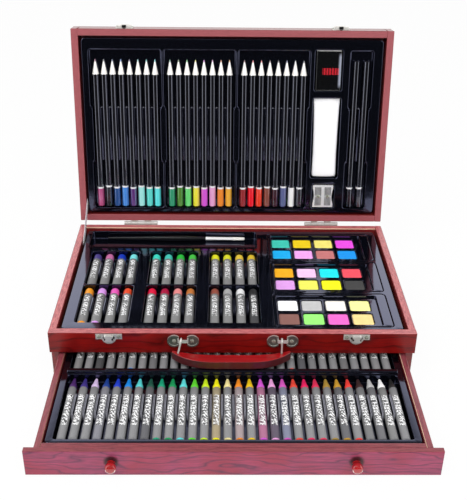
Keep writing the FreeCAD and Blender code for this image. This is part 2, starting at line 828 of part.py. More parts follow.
def hinge_leaf(side, on_lid):
    """One leaf with its share of the knuckles. The lid's leaf is drawn with the lid shut."""
    sign = 1 if on_lid else -1
    x0 = side * hinge_x - hinge_width / 2
    near = hinge_axis_z + sign * hinge_barrel_radius
    far = near + sign * hinge_leaf_height
    leaf = rounded_slab(x0, x0 + hinge_width, half_depth, half_depth + hinge_leaf_thickness,
                        min(near, far), max(near, far), hinge_leaf_corner, Y_WAY)
    step = hinge_width / hinge_knuckles
    pieces = [leaf]
    for i in range(1 if on_lid else 0, hinge_knuckles, 2):
        a = x0 + i * step + hinge_knuckle_gap / 2
        b = a + step - hinge_knuckle_gap
        pieces.append(rod(hinge_barrel_radius, on_hinge(a), on_hinge(b)))
        inner = hinge_axis_z + sign * (hinge_barrel_radius - hinge_leaf_thickness)
        pieces.append(slab(a, b, half_depth, hinge_axis_y, min(inner, near), max(inner, near)))
    leaf = joined(pieces)
    bore = rod(hinge_pin_radius + fit, on_hinge(x0 - overrun), on_hinge(x0 + hinge_width + overrun))
    return screw_holes(leaf.cut(bore), lid_hinge_screws() if on_lid else case_hinge_screws())


def hinge_pin(side):
    x0 = side * hinge_x - hinge_width / 2
    return rod(hinge_pin_radius, on_hinge(x0), on_hinge(x0 + hinge_width))


# Catches and hasps

def catch_plate(side):
    """A plate with a straight top, low sides and a bulge below, and a hollow-cheeked boss in its middle."""
    top = case_height - catch_top_drop
    half = catch_width / 2
    low = top - catch_side_height
    points = [V(-catch_bulge_half_width, 0, low), V(-half, 0, low), V(-half, 0, top), V(half, 0, top),
              V(half, 0, low), V(catch_bulge_half_width, 0, low)]
    outline = [Part.makeLine(a, b) for a, b in zip(points, points[1:])]
    outline.append(Part.Arc(points[-1], V(0, 0, top - catch_height), points[0]).toShape())
    plate = Part.Face(Part.Wire(outline)).extrude(-Y_WAY * catch_thickness)
    boss = rounded_slab(-boss_width / 2, boss_width / 2, -boss_proud, 0, top - boss_height, top, boss_round,
                        Y_WAY)
    front = [e for e in boss.Edges if e.BoundBox.YMax < -boss_proud + boss_round / 10]
    boss = boss.makeFillet(boss_round / 2, front)
    whole = moved(joined([plate, boss]), x=side * catch_x, y=-half_depth)
    return screw_holes(whole, catch_screws())


def hasp_axis_z():
    return lid_rim_z + hasp_axis_w


def on_hasp(x):
    return V(x, hasp_axis_y, hasp_axis_z())


def hasp_plate(side):
    z0 = lid_rim_z + hasp_plate_start_w
    x = side * catch_x
    plate = rounded_slab(x - hasp_plate_width / 2, x + hasp_plate_width / 2,
                         -half_depth - hasp_plate_thickness, -half_depth, z0, z0 + hasp_plate_height,
                         hasp_corner, Y_WAY)
    pieces = [plate]
    for end in (-1, 1):
        a = x + end * (hasp_plate_width / 2 - hasp_corner / 2)
        b = a - end * hasp_knuckle_width
        pieces.append(rod(hasp_barrel_radius, on_hasp(a), on_hasp(b)))
        pieces.append(slab(min(a, b), max(a, b), hasp_axis_y, -half_depth,
                           hasp_axis_z() - hasp_barrel_radius + seat_gap,
                           hasp_axis_z() + hasp_barrel_radius))
    body = joined(pieces).cut(hasp_bore(side))
    return screw_holes(body, hasp_screws())


def hasp_bore(side, radius=hasp_pin_radius + fit):
    x = side * catch_x
    return rod(radius, on_hasp(x - hasp_plate_width), on_hasp(x + hasp_plate_width))


def hasp_pin(side):
    x = side * catch_x
    half = hasp_plate_width / 2 - hasp_corner / 2
    return rod(hasp_pin_radius, on_hasp(x - half), on_hasp(x + half))


def hasp_tongue(side):
    """The tongue folded back over its plate, with the window that drops over the catch's boss."""
    x = side * catch_x
    z = hasp_axis_z()
    half = hasp_tongue_width / 2
    inner_y = hasp_axis_y + hasp_tongue_thickness / 2
    knuckle_half = hasp_plate_width / 2 - hasp_corner / 2 - hasp_knuckle_width - hasp_window_clearance / 2
    root_half = min(half, knuckle_half)
    outer_y = inner_y - hasp_tongue_thickness
    tongue = rounded_slab(x - half, x + half, outer_y, inner_y, z, z + hasp_tongue_length, hasp_corner,
                          Y_WAY)
    root = slab(x - root_half, x + root_half, outer_y, inner_y, z, z + hasp_corner)
    trim = slab(x - half - overrun, x + half + overrun, inner_y - board, inner_y + board, z - overrun,
                z + hasp_barrel_radius + seat_gap)
    barrel = rod(hasp_barrel_radius, on_hasp(x - root_half), on_hasp(x + root_half))
    window_half = boss_width / 2 + hasp_window_clearance
    window = rounded_slab(x - window_half, x + window_half, inner_y - board, inner_y + board,
                          z + hasp_window_start, z + hasp_window_end, boss_round, Y_WAY)
    return joined([tongue.cut(trim), root, barrel]).cut(window).cut(hasp_bore(side))


# Handle, brackets and eyes

def handle_grip():
    """A flat bow, lying level in the pose shown, drilled near its tips for the wire eyes."""
    face = -half_depth
    half = handle_half_length

    def bow_edge(tip_out, end_out, shoulder_out, middle_out):
        stations = [(half, tip_out), (handle_end_x, end_out), (handle_shoulder_x, shoulder_out),
                    (0, middle_out)]
        right = [V(x, face - out, 0) for x, out in stations]
        left = [V(-x, face - out, 0) for x, out in reversed(stations[:-1])]
        curve = Part.BSplineCurve()
        curve.interpolate(right + left)
        return curve.toShape()

    inner = bow_edge(handle_tip_out, handle_inner_end_out, handle_inner_shoulder_out, handle_inner_out)
    outer = bow_edge(handle_tip_out + handle_tip_depth, handle_end_out, handle_shoulder_out,
                     handle_outer_out)
    tips = [Part.makeLine(inner.valueAt(inner_end), outer.valueAt(outer_end)) for inner_end, outer_end in
            ((inner.FirstParameter, outer.FirstParameter), (inner.LastParameter, outer.LastParameter))]
    outline = Part.Wire(Part.sortEdges([inner, tips[1], outer, tips[0]])[0])
    bow = rounded(Part.Face(outline).extrude(Z_WAY * handle_thickness), handle_tip_round, Z_WAY)
    rims = [e for e in bow.Edges if e.BoundBox.ZLength < handle_edge_round / 10]
    bow = moved(bow.makeFillet(handle_edge_round, rims), x=handle_shift, z=handle_bottom_z)
    for x, way in handle_eye_lines():
        axis = V(x, shank_y(), eye_axis_z)
        depth = (eye_axis_z - handle_bottom_z - handle_thickness + handle_hole_depth) / -way.z
        bow = bow.cut(rod(handle_hole_radius, axis, axis.add(way * depth)))
    return bow


def shank_y():
    return eye_axis_y - eye_radius


def handle_eye_lines():
    """Each eye's place along its bracket's strap, and the way its shank runs down to the handle."""
    for x, lean in ((left_eye_x, left_eye_lean), (right_eye_x, right_eye_lean)):
        angle = math.radians(lean)
        yield x, V(-math.sin(angle), 0, -math.cos(angle))


def handle_eyes():
    """Two wire eyes: a ring round the bracket's strap, and a shank down into the handle."""
    eyes = []
    for x, way in handle_eye_lines():
        across = V(-way.z, 0, way.x)
        ring = Part.makeTorus(eye_radius, wire_radius, V(x, eye_axis_y, eye_axis_z), across)
        start = V(x, shank_y(), eye_axis_z)
        reach = (eye_axis_z - handle_bottom_z - handle_thickness + handle_hole_depth - seat_gap) / -way.z
        eyes.append(joined([ring, rod(wire_radius, start, start.add(way * reach))]))
    return eyes


def bracket(side):
    """A two-lobed plate with a raised rim, and a strap standing off its middle for the wire eye."""
    face = -half_depth

    def lobes(radius, neck, y0, y1):
        parts = [rod(radius, V(end * bracket_lobe_offset, y0, 0), V(end * bracket_lobe_offset, y1, 0))
                 for end in (-1, 1)]
        return joined(parts + [slab(-bracket_lobe_offset, bracket_lobe_offset, min(y0, y1), max(y0, y1),
                                    -neck / 2, neck / 2)])

    back = face
    front = face - bracket_thickness
    rim_front = front - bracket_rim_height
    plate = lobes(bracket_lobe_radius, bracket_neck_height, back, front)
    inside = lobes(bracket_lobe_radius - bracket_rim_width, bracket_neck_height - 2 * bracket_rim_width,
                   front, rim_front - overrun)
    gate = slab(-strap_width / 2, strap_width / 2, face - overrun, front, -bracket_neck_height,
                bracket_neck_height)
    rim = lobes(bracket_lobe_radius, bracket_neck_height, back, rim_front).cut(inside).cut(gate)
    body = moved(joined([plate, rim]), x=side * bracket_x, z=bracket_z)
    x = side * bracket_x
    gap = eye_radius + wire_radius + rib_gap
    slot = slab(x - strap_width / 2, x + strap_width / 2, face - overrun, face + overrun,
                eye_axis_z - gap, eye_axis_z + gap)
    outer = strap_width / 2 + strap_thickness
    strap_front = eye_axis_y - strap_thickness / 2
    z0, z1 = eye_axis_z - strap_height / 2, eye_axis_z + strap_height / 2
    loop = rounded_slab(x - outer, x + outer, strap_front, back, z0, z1, strap_thickness, Z_WAY)
    hollow = slab(x - strap_width / 2, x + strap_width / 2, strap_front + strap_thickness, back + overrun,
                  z0 - overrun, z1 + overrun)
    body = joined([body.cut(slot), loop]).cut(hollow)
    return screw_holes(body, bracket_screws())


# Lid

def lid_side():
    side = lid_slab(-half_width, -inner_half_width, 0, case_depth, 0, lid_inside_w)
    return side.cut(tack_hole(ribbon_ends()[1]))


def lid_front():
    front = lid_slab(-inner_half_width, inner_half_width, case_depth - board, case_depth, 0, lid_inside_w)
    return screw_holes(front, hasp_screws())


def lid_back():
    back = lid_slab(-inner_half_width, inner_half_width, 0, board, 0, lid_inside_w)
    return screw_holes(back, lid_hinge_screws())


def lid_panel():
    panel = lid_slab(-half_width, half_width, 0, case_depth, lid_inside_w, lid_height)
    rim = [e for e in panel.Edges if e.BoundBox.ZMin > lid_rim_z + lid_height - edge_round / 10]
    return panel.makeFillet(edge_round, rim)


def pencil_w():
    return lid_tray_w + seat_gap + pencil_flats / 2


def pencil(cone):
    """One hexagonal pencil along Y from zero; cone is the length of its sharpened end."""
    across = pencil_flats / math.cos(math.pi / 6)
    hexagon = [V(across / 2 * math.cos(i * math.pi / 3), 0, across / 2 * math.sin(i * math.pi / 3))
               for i in range(7)]
    stick = Part.Face(Part.makePolygon(hexagon)).extrude(Y_WAY * pencil_length)
    if not cone:
        return stick
    slope = (across / 2 - pencil_lead_radius) / cone
    point = turned([(0, across), (pencil_length - cone - across / 2 / slope, across),
                    (pencil_length, pencil_lead_radius)], V(0, 0, 0), Y_WAY)
    return stick.common(point)


def lid_pencils(group):
    """Sticks run from the hinge side with their points towards the lid's front."""
    stick = pencil(pencil_cone)
    place = []
    for i in range(pencil_count):
        x = first_pencil_x + group * pencil_group_pitch + i * pencil_pitch
        place.append(in_lid(moved(stick, x=x, y=pencil_start_u, z=lid_inside_w - pencil_w())))
    return [opened(p) for p in place]


def drawing_pencils():
    stick = pencil(0)
    return [opened(in_lid(moved(stick, x=drawing_pencil_x + i * drawing_pencil_pitch, y=pencil_start_u,
                                z=lid_inside_w - pencil_w()))) for i in range(drawing_pencil_count)]


def eraser():
    half = eraser_width / 2 - eraser_sleeve_skin
    w0 = lid_tray_w + seat_gap
    block = lid_slab(small_things_x - half, small_things_x + half, eraser_start_u,
                     eraser_start_u + eraser_length, w0 + eraser_sleeve_skin,
                     w0 + eraser_thickness - eraser_sleeve_skin)
    return opened(rounded(block, eraser_bevel, Y_WAY))


def eraser_sleeve():
    half = eraser_width / 2
    w0 = lid_tray_w + seat_gap
    start = eraser_start_u + (eraser_length - eraser_sleeve_length) / 2
    sleeve = lid_slab(small_things_x - half, small_things_x + half, start, start + eraser_sleeve_length, w0,
                      w0 + eraser_thickness)
    skin = eraser_sleeve_skin
    hole = lid_slab(small_things_x - half + skin, small_things_x + half - skin, start - overrun,
                    start + eraser_sleeve_length + overrun, w0 + skin, w0 + eraser_thickness - skin)
    return opened(rounded(sleeve, eraser_bevel + skin, Y_WAY).cut(rounded(hole, eraser_bevel, Y_WAY)))


def paint_tube():
    """A filled tube: flat at its folded end, and swelling to a rounded shoulder."""
    middle_w = lid_tray_w + seat_gap + tube_thickness / 2
    z = lid_rim_z + middle_w

    def section(u, half_thickness):
        ring = Part.Ellipse(V(0, 0, 0), tube_width / 2, half_thickness).toShape()
        ring.Placement = FreeCAD.Placement(V(small_things_x, half_depth - u, z), FreeCAD.Rotation(X_WAY, 90))
        return Part.Wire(ring)

    end_u = tube_start_u + tube_length
    body = Part.makeLoft([section(tube_start_u, tube_thickness / 2),
                          section(tube_start_u + tube_length / 2, tube_thickness * 2 / 5),
                          section(end_u - tube_crimp_length, tube_crimp_thickness / 2)], True)
    arc_y = half_depth - tube_start_u - tube_end_arc_radius
    arc = Part.makeCylinder(tube_end_arc_radius, 2 * tube_thickness,
                            V(small_things_x, arc_y, z - tube_thickness))
    fold = lid_slab(small_things_x - tube_width / 2, small_things_x + tube_width / 2,
                    end_u - tube_crimp_length, end_u, middle_w - tube_crimp_thickness / 2,
                    middle_w + tube_crimp_thickness / 2)
    return opened(joined([body.common(arc), fold]))


def sharpener_wings():
    return [small_things_x + end * sharpener_bore_pitch / 2 for end in (-1, 1)]


def sharpener_body():
    w0 = lid_tray_w + seat_gap + blade_thickness
    w1 = w0 + sharpener_thickness - blade_thickness
    u1 = sharpener_start_u + sharpener_length
    body = lid_slab(small_things_x - sharpener_width / 2, small_things_x + sharpener_width / 2,
                    sharpener_start_u, u1, w0, w1)
    scoop_radius = sharpener_length
    scoops = []
    for end in (-1, 1):
        x = small_things_x + end * (sharpener_width / 2 - sharpener_waist + scoop_radius)
        y = half_depth - (sharpener_start_u + u1) / 2
        scoops.append(Part.makeCylinder(scoop_radius, 2 * sharpener_thickness, V(x, y, lid_rim_z)))
    middle = (w0 + w1) / 2
    bores = [Part.makeCone(sharpener_bore_radius, sharpener_small_bore_radius, sharpener_bore_length,
                           V(x, half_depth - u1, lid_rim_z + middle), Y_WAY) for x in sharpener_wings()]
    body = body.cut(Part.makeCompound(scoops)).cut(Part.makeCompound(bores))
    holes = [rod(screw_radius + fit, V(x, half_depth - sharpener_start_u - sharpener_length / 2, lid_rim_z),
                 V(x, half_depth - sharpener_start_u - sharpener_length / 2, lid_rim_z + middle))
             for x in sharpener_wings()]
    return opened(body.cut(Part.makeCompound(holes)))


def sharpener_blades():
    blades = []
    w0 = lid_tray_w + seat_gap
    for x in sharpener_wings():
        blade = lid_slab(x - blade_width / 2, x + blade_width / 2, sharpener_start_u + blade_inset,
                         sharpener_start_u + blade_inset + blade_length, w0, w0 + blade_thickness)
        y = half_depth - sharpener_start_u - sharpener_length / 2
        blades.append(opened(blade.cut(rod(screw_radius + fit, V(x, y, lid_rim_z),
                                           V(x, y, lid_rim_z + lid_inside_w)))))
    return blades


def blade_screws():
    z = lid_rim_z + lid_tray_w + seat_gap
    y = half_depth - sharpener_start_u - sharpener_length / 2
    return [opened(turned([(-blade_screw_height, blade_screw_radius * 3 / 4), (0, blade_screw_radius),
                           (0, screw_radius), (sharpener_thickness / 4, screw_radius)], V(x, y, z), Z_WAY))
            for x in sharpener_wings()]


# Ribbon stay

def ribbon():
    """A flat ribbon drawn tight between its two tacks, close to the left walls."""
    case_end, lid_end_shut = ribbon_ends()
    lid_end = opened(Part.Vertex(lid_end_shut)).Point
    way = lid_end.sub(case_end)
    length = way.Length + 2 * ribbon_tail
    gap = seat_gap
    strip = Part.makeBox(ribbon_thickness, length, ribbon_width, V(gap, -ribbon_tail, -ribbon_width / 2))
    hole_radius = screw_radius + rib_gap
    for along in (0, way.Length):
        strip = strip.cut(rod(hole_radius, V(-overrun, along, 0), V(overrun, along, 0)))
    turn = FreeCAD.Rotation(X_WAY, math.degrees(math.atan2(way.z, way.y)))
    strip.Placement = FreeCAD.Placement(case_end, turn)
    return strip


def ribbon_tacks():
    case_end, lid_end = ribbon_ends()
    lift = X_WAY * (ribbon_thickness + 2 * seat_gap)
    return tack(case_end.add(lift)), opened(tack(lid_end.add(lift)))


# Drawer

def drawer_face():
    face = slab(-half_width, half_width, drawer_face_y, drawer_box_front_y, drawer_face_lift,
                drawer_face_top_z)
    rims = [e for e in face.Edges if e.BoundBox.YMax < drawer_face_y + edge_round / 10]
    face = face.makeFillet(edge_round, rims)
    return screw_holes(face, knob_screws(), drawer_box_front_y - drawer_face_y + board)


def drawer_side():
    return slab(-drawer_half_width, -drawer_inner_half, drawer_box_front_y, drawer_box_back_y,
                drawer_bottom_z, drawer_top_z)


def drawer_front():
    front = slab(-drawer_inner_half, drawer_inner_half, drawer_box_front_y, drawer_inside_front_y,
                 drawer_bottom_z, drawer_top_z)
    return screw_holes(front, knob_screws(), drawer_front_board + board)


def drawer_back():
    return slab(-drawer_inner_half, drawer_inner_half, drawer_inside_back_y, drawer_box_back_y,
                drawer_bottom_z, drawer_top_z)


def drawer_bottom():
    return slab(-drawer_inner_half, drawer_inner_half, drawer_inside_front_y, drawer_inside_back_y,
                drawer_bottom_z, drawer_bottom_z + drawer_ply)


def crayons(row):
    front = crayon_front_y + row * crayon_row_pitch
    z = drawer_tray_top_z - crayon_sink - crayon_radius
    stick = turned([(0, crayon_wax_radius), (seat_gap, crayon_radius),
                    (crayon_length - crayon_cone - crayon_bare, crayon_radius),
                    (crayon_length - crayon_cone - crayon_bare, crayon_wax_radius),
                    (crayon_length - crayon_cone, crayon_wax_radius), (crayon_length, crayon_tip_radius)],
                   V(0, front, z), Y_WAY)
    return [moved(stick, x=(i - (crayon_count - 1) / 2) * crayon_pitch) for i in range(crayon_count)]


def knob(side):
    head = knob_length - knob_stem_length
    outline = [(0, knob_stem_radius), (knob_stem_length, knob_stem_radius),
               (knob_stem_length + head / 4, knob_radius * 9 / 10),
               (knob_stem_length + head / 2, knob_radius),
               (knob_length - knob_dome / 2, knob_radius * 4 / 5), (knob_length, knob_radius * 2 / 5)]
    knob_solid = turned(outline, V(side * knob_x, drawer_face_y, knob_z), -Y_WAY)
    bore = rod(screw_radius + fit, V(side * knob_x, drawer_face_y + overrun, knob_z),
               V(side * knob_x, drawer_face_y - knob_bore_depth - fit, knob_z))
    return knob_solid.cut(bore)


def knob_screw_length():
    return drawer_front_board + drawer_face_thickness + knob_bore_depth - fit


def main():
    os.makedirs("parts", exist_ok=True)
    case_tack, lid_tack = ribbon_tacks()

    left = case_side()
    save("case_side_left", left.cut(tack_hole(ribbon_ends()[0])))
    save("case_side_right", mirrored(left))
    save("case_back", case_back())
    save("case_front_rail", case_rail())
    save("case_bottom", case_bottom())
    save("compartment_floor", compartment_floor())
    save("case_tray", case_tray())
    save("oil_pastels_back", pastels(0))
    save("oil_pastels_front", pastels(1))
    save("paint_palettes", palettes())
    save("paint_cakes", cakes())
    save("brush_handle", brush_handle())
    save("brush_ferrule", brush_ferrule())
    save("brush_hair", brush_hair())
    save("hinge_leaves_case", [hinge_leaf(side, False) for side in (-1, 1)])
    save("hinge_pins", [hinge_pin(side) for side in (-1, 1)])
    save("hinge_screws_case", [screw(*place) for place in case_hinge_screws()])
    save("catch_plates", [catch_plate(side) for side in (-1, 1)])
    save("catch_screws", [screw(*place) for place in catch_screws()])
    save("handle_brackets", [bracket(side) for side in (-1, 1)])
    save("bracket_screws", [screw(*place) for place in bracket_screws()])
    save("ribbon_tack_case", case_tack)

    save("lid_side_left", opened(lid_side()))
    save("lid_side_right", opened(mirrored(lid_slab(-half_width, -inner_half_width, 0, case_depth, 0,
                                                    lid_inside_w))))
    save("lid_front_rail", opened(lid_front()))
    save("lid_back_rail", opened(lid_back()))
    save("lid_panel", opened(lid_panel()))
    save("lid_tray", lid_tray())
    for group, name in enumerate(("left", "middle", "right")):
        save("colour_pencils_" + name, lid_pencils(group))
    save("drawing_pencils", drawing_pencils())
    save("eraser", eraser())
    save("eraser_sleeve", eraser_sleeve())
    save("paint_tube", paint_tube())
    save("sharpener_body", sharpener_body())
    save("sharpener_blades", sharpener_blades())
    save("sharpener_screws", blade_screws())
    save("hinge_leaves_lid", [opened(hinge_leaf(side, True)) for side in (-1, 1)])
    save("hinge_screws_lid", [opened(screw(*place)) for place in lid_hinge_screws()])
    save("hasp_plates", [opened(hasp_plate(side)) for side in (-1, 1)])
    save("hasp_screws", [opened(screw(*place)) for place in hasp_screws()])
    save("hasp_pins", [opened(hasp_pin(side)) for side in (-1, 1)])
    save("hasp_tongue_left", opened(hasp_tongue(-1)))
    save("hasp_tongue_right", opened(hasp_tongue(1)))
    save("ribbon_tack_lid", lid_tack)
    save("ribbon_stay", ribbon())

    save("drawer_face", drawer_face())
    save("drawer_side_left", drawer_side())
    save("drawer_side_right", mirrored(drawer_side()))
    save("drawer_front_board", drawer_front())
    save("drawer_back", drawer_back())
    save("drawer_bottom", drawer_bottom())
    save("drawer_tray", drawer_tray())
    save("crayons_front", crayons(0))
    save("crayons_back", crayons(1))
    save("drawer_knobs", [knob(side) for side in (-1, 1)])
    save("knob_screws", [screw(place, way, knob_screw_length()) for place, way in knob_screws()])

    save("handle_grip", handle_grip())
    save("handle_eyes", handle_eyes())


main()
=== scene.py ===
import json
import math
import random

import bmesh
import bpy
import numpy as np
from bpy.props import FloatProperty, FloatVectorProperty, IntProperty, PointerProperty
from mathutils import Matrix, Vector


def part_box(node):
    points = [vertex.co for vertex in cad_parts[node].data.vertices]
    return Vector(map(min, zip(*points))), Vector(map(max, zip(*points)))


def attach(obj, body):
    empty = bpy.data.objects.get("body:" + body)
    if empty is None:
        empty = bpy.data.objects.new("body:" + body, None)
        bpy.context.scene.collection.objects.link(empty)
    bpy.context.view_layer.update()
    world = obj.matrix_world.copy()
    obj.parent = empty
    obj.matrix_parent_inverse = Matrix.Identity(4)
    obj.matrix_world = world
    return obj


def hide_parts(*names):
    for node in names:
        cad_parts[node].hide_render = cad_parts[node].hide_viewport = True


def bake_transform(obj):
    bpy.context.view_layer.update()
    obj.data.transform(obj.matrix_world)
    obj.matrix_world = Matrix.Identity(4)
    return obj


# A wooden art box, dressed round its packed construction. Sizes in this file are in millimetres,
# and MM turns them to metres.

bl_info = {
    "name": "Wooden Art Box",
    "version": (1, 0, 0),
    "blender": (4, 5, 0),
    "location": "3D View > Sidebar > Art Box",
    "description": "Dresses the art box: stained boards, formed trays, pencils, crayons, pastels and paints",
    "category": "Add Mesh",
}

MM = 0.001
# Faces that meet at less than FLAT are one face, and an edge sharper than SHARP is rounded
FLAT, SHARP = math.radians(0.6), math.radians(32)
# A board's edge shorter than this isn't rounded
SHORT_EDGE = 12 * MM
# A face whose normal has this much height is a rim
RIM_UP = 0.93
# Millimetres from a stick to the floor of its pocket, and the corner radius of a pocket and of a tray
FLOOR_GAP, POCKET_CORNER, TRAY_CORNER = 0.2, 3.0, 4.0
# Share of the floor's own white that the camera and reflections see instead of its shaded paper
FLOOR_GLOW = 0.94
# Height of a direction, as its sine, where the stage's white walls end and its dark ceiling begins
WALLS_END, CEILING_STARTS = 0.56, 0.7

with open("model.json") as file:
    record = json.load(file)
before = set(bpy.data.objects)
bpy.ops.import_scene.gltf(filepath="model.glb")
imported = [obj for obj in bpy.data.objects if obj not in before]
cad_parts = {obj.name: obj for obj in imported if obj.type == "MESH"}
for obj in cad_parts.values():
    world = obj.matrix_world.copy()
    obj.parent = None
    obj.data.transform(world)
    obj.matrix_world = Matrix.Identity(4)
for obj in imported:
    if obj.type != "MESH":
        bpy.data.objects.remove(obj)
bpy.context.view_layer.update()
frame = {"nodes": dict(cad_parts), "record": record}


def linear(code):
    """A linear colour with alpha from an sRGB hex code such as #8C1010."""
    parts = [int(code[i:i + 2], 16) / 255 for i in (1, 3, 5)]
    return tuple(c / 12.92 if c <= 0.04045 else ((c + 0.055) / 1.055) ** 2.4 for c in parts) + (1.0,)


# Colours of the sticks and cakes, from left to right
PENCIL_COLOURS = (
    "#B8407C #202224 #124B8C #4090E8 #5A2A78 #A8F5F0 #5CE8DC #5CF5F5".split(),
    "#1FA070 #4F8A20 #6AE878 #FFF22E #E85AE8 #F8B0E0 #FF9010 #FFB827".split(),
    "#9E2420 #FF0A1E #FF4018 #8C4A38 #3C1620 #5C6498 #FFFFFF #202224".split())
DRAWING_COLOURS = "#101012 #101012".split()
PASTEL_BACK_COLOURS = ("#4A3F88 #D070A8 #1038C0 #80F0F0 #40E8D0 #48D0C0 #28C840 #48D048 "
                       "#F0F020 #E8E828 #F0D040 #E8C830").split()
PASTEL_FRONT_COLOURS = ("#F8A020 #E0A0F0 #F060C0 #F05028 #E81040 #B01040 #F09090 #C87838 "
                        "#985040 #B0B0B0 #F0F0F0 #303030").split()
CRAYON_COLOURS = ("#4A2868 #3C3080 #D8C0E8 #1E4090 #2040C8 #1888E0 #58D8D8 #205848 #18A078 #189858 "
                  "#60E0E0 #60D830 #D0F020 #F8F010 #F8E8A0 #F89020 #F0C810 #D858D8 #F0A8E0 #D858C0 "
                  "#E84838 #E82060 #E03058 #A88838 #C89830 #F04038 #3C2828 #C0C0C0 #FFFFFF #282828").split()
# Crayon wrappers that are darker, browner or pinker than the rest, by place from the left
FRONT_PAPERS = {3: "#888890", 7: "#66666A", 13: "#A89A7C", 15: "#A8989A", 17: "#B07090", 18: "#625868",
                19: "#82869C", 24: "#6A6A6E", 26: "#7C7C7E", 27: "#727276", 28: "#868686"}
BACK_PAPERS = {0: "#868686", 2: "#505052", 7: "#747476", 21: "#606064", 22: "#808082", 25: "#767678",
               28: "#8A8A8C"}
CAKE_COLOURS = (
    "#FFFFFF #C0C0C0 #F5F2E8 #FAF8A0 #8A5F58 #98F878 #F068C8 #F5D890 "
    "#F8B018 #F8C8F0 #18E8F0 #F05060 #E0A0E8 #F0F060 #FAFA10 #404040 "
    "#3CC8B4 #F0D010 #F5E878 #F050E8 #10B0F0 #F5A8F0 #C87878 #1098F0").split()


def colour_prop(name, description, code):
    return FloatVectorProperty(name=name, description=description, default=linear(code), size=4,
                               subtype="COLOR", min=0, max=1)


def length_prop(name, description, value):
    return FloatProperty(name=name, description=description, default=value * MM, unit="LENGTH",
                         subtype="DISTANCE", min=0, precision=4)


class WoodSettings(bpy.types.PropertyGroup):
    """Stained boards."""
    front: colour_prop("Front stain", "Stain on the case's front", "#7C0806")
    front_dark: colour_prop("Front grain", "Dark grain lines in the front stain", "#560608")
    # Painted sheen: the rims' upward faces get a stain paler than the rest of the case, standing in for the
    # light they catch
    rim: colour_prop("Rim stain", "Stain on the rims of the case", "#D67A7A")
    rim_dark: colour_prop("Rim grain", "Grain in the rims", "#96404A")
    # Painted sheen: the lid's rim faces get a stain paler than its outside
    lid_rim: colour_prop("Lid rim stain", "Stain on the rim of the lid", "#9E4E54")
    face: colour_prop("Drawer face", "Stain on the drawer's face", "#A83E60")
    face_warm: colour_prop("Drawer face, warm patches", "Redder patches on the drawer's face", "#962A40")
    face_dark: colour_prop("Drawer face figure", "Dark figure lines on the drawer's face", "#482440")
    bare: colour_prop("Bare edge", "Sanded edge where the stain is rubbed off", "#E8C4A4")
    outside: colour_prop("Outside stain", "Stain on the outside of the lid and sides", "#86201F")
    edge: length_prop("Edge rounding", "Rounding of the boards' edges", 0.7)


class TraySettings(bpy.types.PropertyGroup):
    """Formed trays and palettes."""
    colour: colour_prop("Sheet colour", "Colour of the formed sheet", "#040509")
    rim: length_prop("Rim rounding", "Rounding where a pocket leaves the sheet", 0.9)
    floor_round: length_prop("Floor rounding", "Rounding at the foot of a pocket's wall", 1.2)
    draft: length_prop("Draft", "How far a pocket's wall leans in from rim to floor", 0.5)


class StickSettings(bpy.types.PropertyGroup):
    """Pencils, crayons, pastels, cakes and the brush."""
    lacquer: colour_prop("Pencil lacquer", "Colour of the pencils' lacquer", "#0A0A0C")
    pencil_wood: colour_prop("Pencil wood", "Bare wood of the sharpened ends", "#FFFDF6")
    dip: length_prop("Coloured dip", "Length of the coloured end of a pencil", 23.0)
    ring: length_prop("White ring", "Length of the white ring beside the coloured end", 2.1)
    wrapper: colour_prop("Crayon wrapper", "Paper of the crayons", "#8C8C8E")
    pastel_wrapper: colour_prop("Pastel wrapper", "Paper of the oil pastels", "#868686")
    ink: colour_prop("Printed marks", "Light marks on the wrappers", "#FFFFFF")
    bristles: IntProperty(name="Bristles", description="Strands in the brush", default=260, min=10)
    seed: IntProperty(name="Seed", description="Seed of the small chance differences", default=7, min=0)


class MetalSettings(bpy.types.PropertyGroup):
    """Hinges, catches, hasps, brackets, eyes and screws."""
    plate: colour_prop("Plate", "Nickel-plated steel", "#F0EEE8")
    edge: length_prop("Edge rounding", "Rounding of the stamped edges", 0.2)


class LacquerSettings(bpy.types.PropertyGroup):
    """Handle and knobs."""
    red: colour_prop("Red lacquer", "Lacquer on the handle and the knobs", "#A81218")
    # Painted shade: the handle's sides get this darker copy of the red lacquer
    shade: colour_prop("Shaded lacquer", "Darker lacquer round the handle's sides", "#4E080E")


class StageSettings(bpy.types.PropertyGroup):
    """Floor, lamps and camera."""
    floor: colour_prop("Floor", "Colour of the floor", "#F4F4F4")
    sky: FloatProperty(name="Ambient level", description="Strength of the light from all round",
                       default=0.66, min=0)
    horizon: FloatProperty(name="Horizon level", default=1.6, min=0,
                           description="Brightness of the white walls, as gloss shows it")
    ceiling: FloatProperty(name="Ceiling level", description="Brightness overhead, as gloss shows it",
                           default=0.12, min=0, max=1)
    key: FloatProperty(name="Key lamp", description="Strength of the large lamp", default=22.0, min=0,
                       unit="POWER")
    fill: FloatProperty(name="Fill lamp", description="Strength of the lamp near the camera", default=11.0,
                        min=0, unit="POWER")


class ArtBoxSettings(bpy.types.PropertyGroup):
    """All the sizes and colours that can be changed."""
    wood: PointerProperty(type=WoodSettings)
    tray: PointerProperty(type=TraySettings)
    stick: PointerProperty(type=StickSettings)
    metal: PointerProperty(type=MetalSettings)
    lacquer: PointerProperty(type=LacquerSettings)
    stage: PointerProperty(type=StageSettings)


def settings():
    return bpy.context.scene.art_box


# Where the lid is: local lid space has u from the hinge edge along Y and the tray's open side up

def joint(name):
    return next(entry for entry in frame["record"]["behaviour"]["joints"] if entry["name"] == name)


def low(node):
    return Vector(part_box(node)[0])


def high(node):
    return Vector(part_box(node)[1])


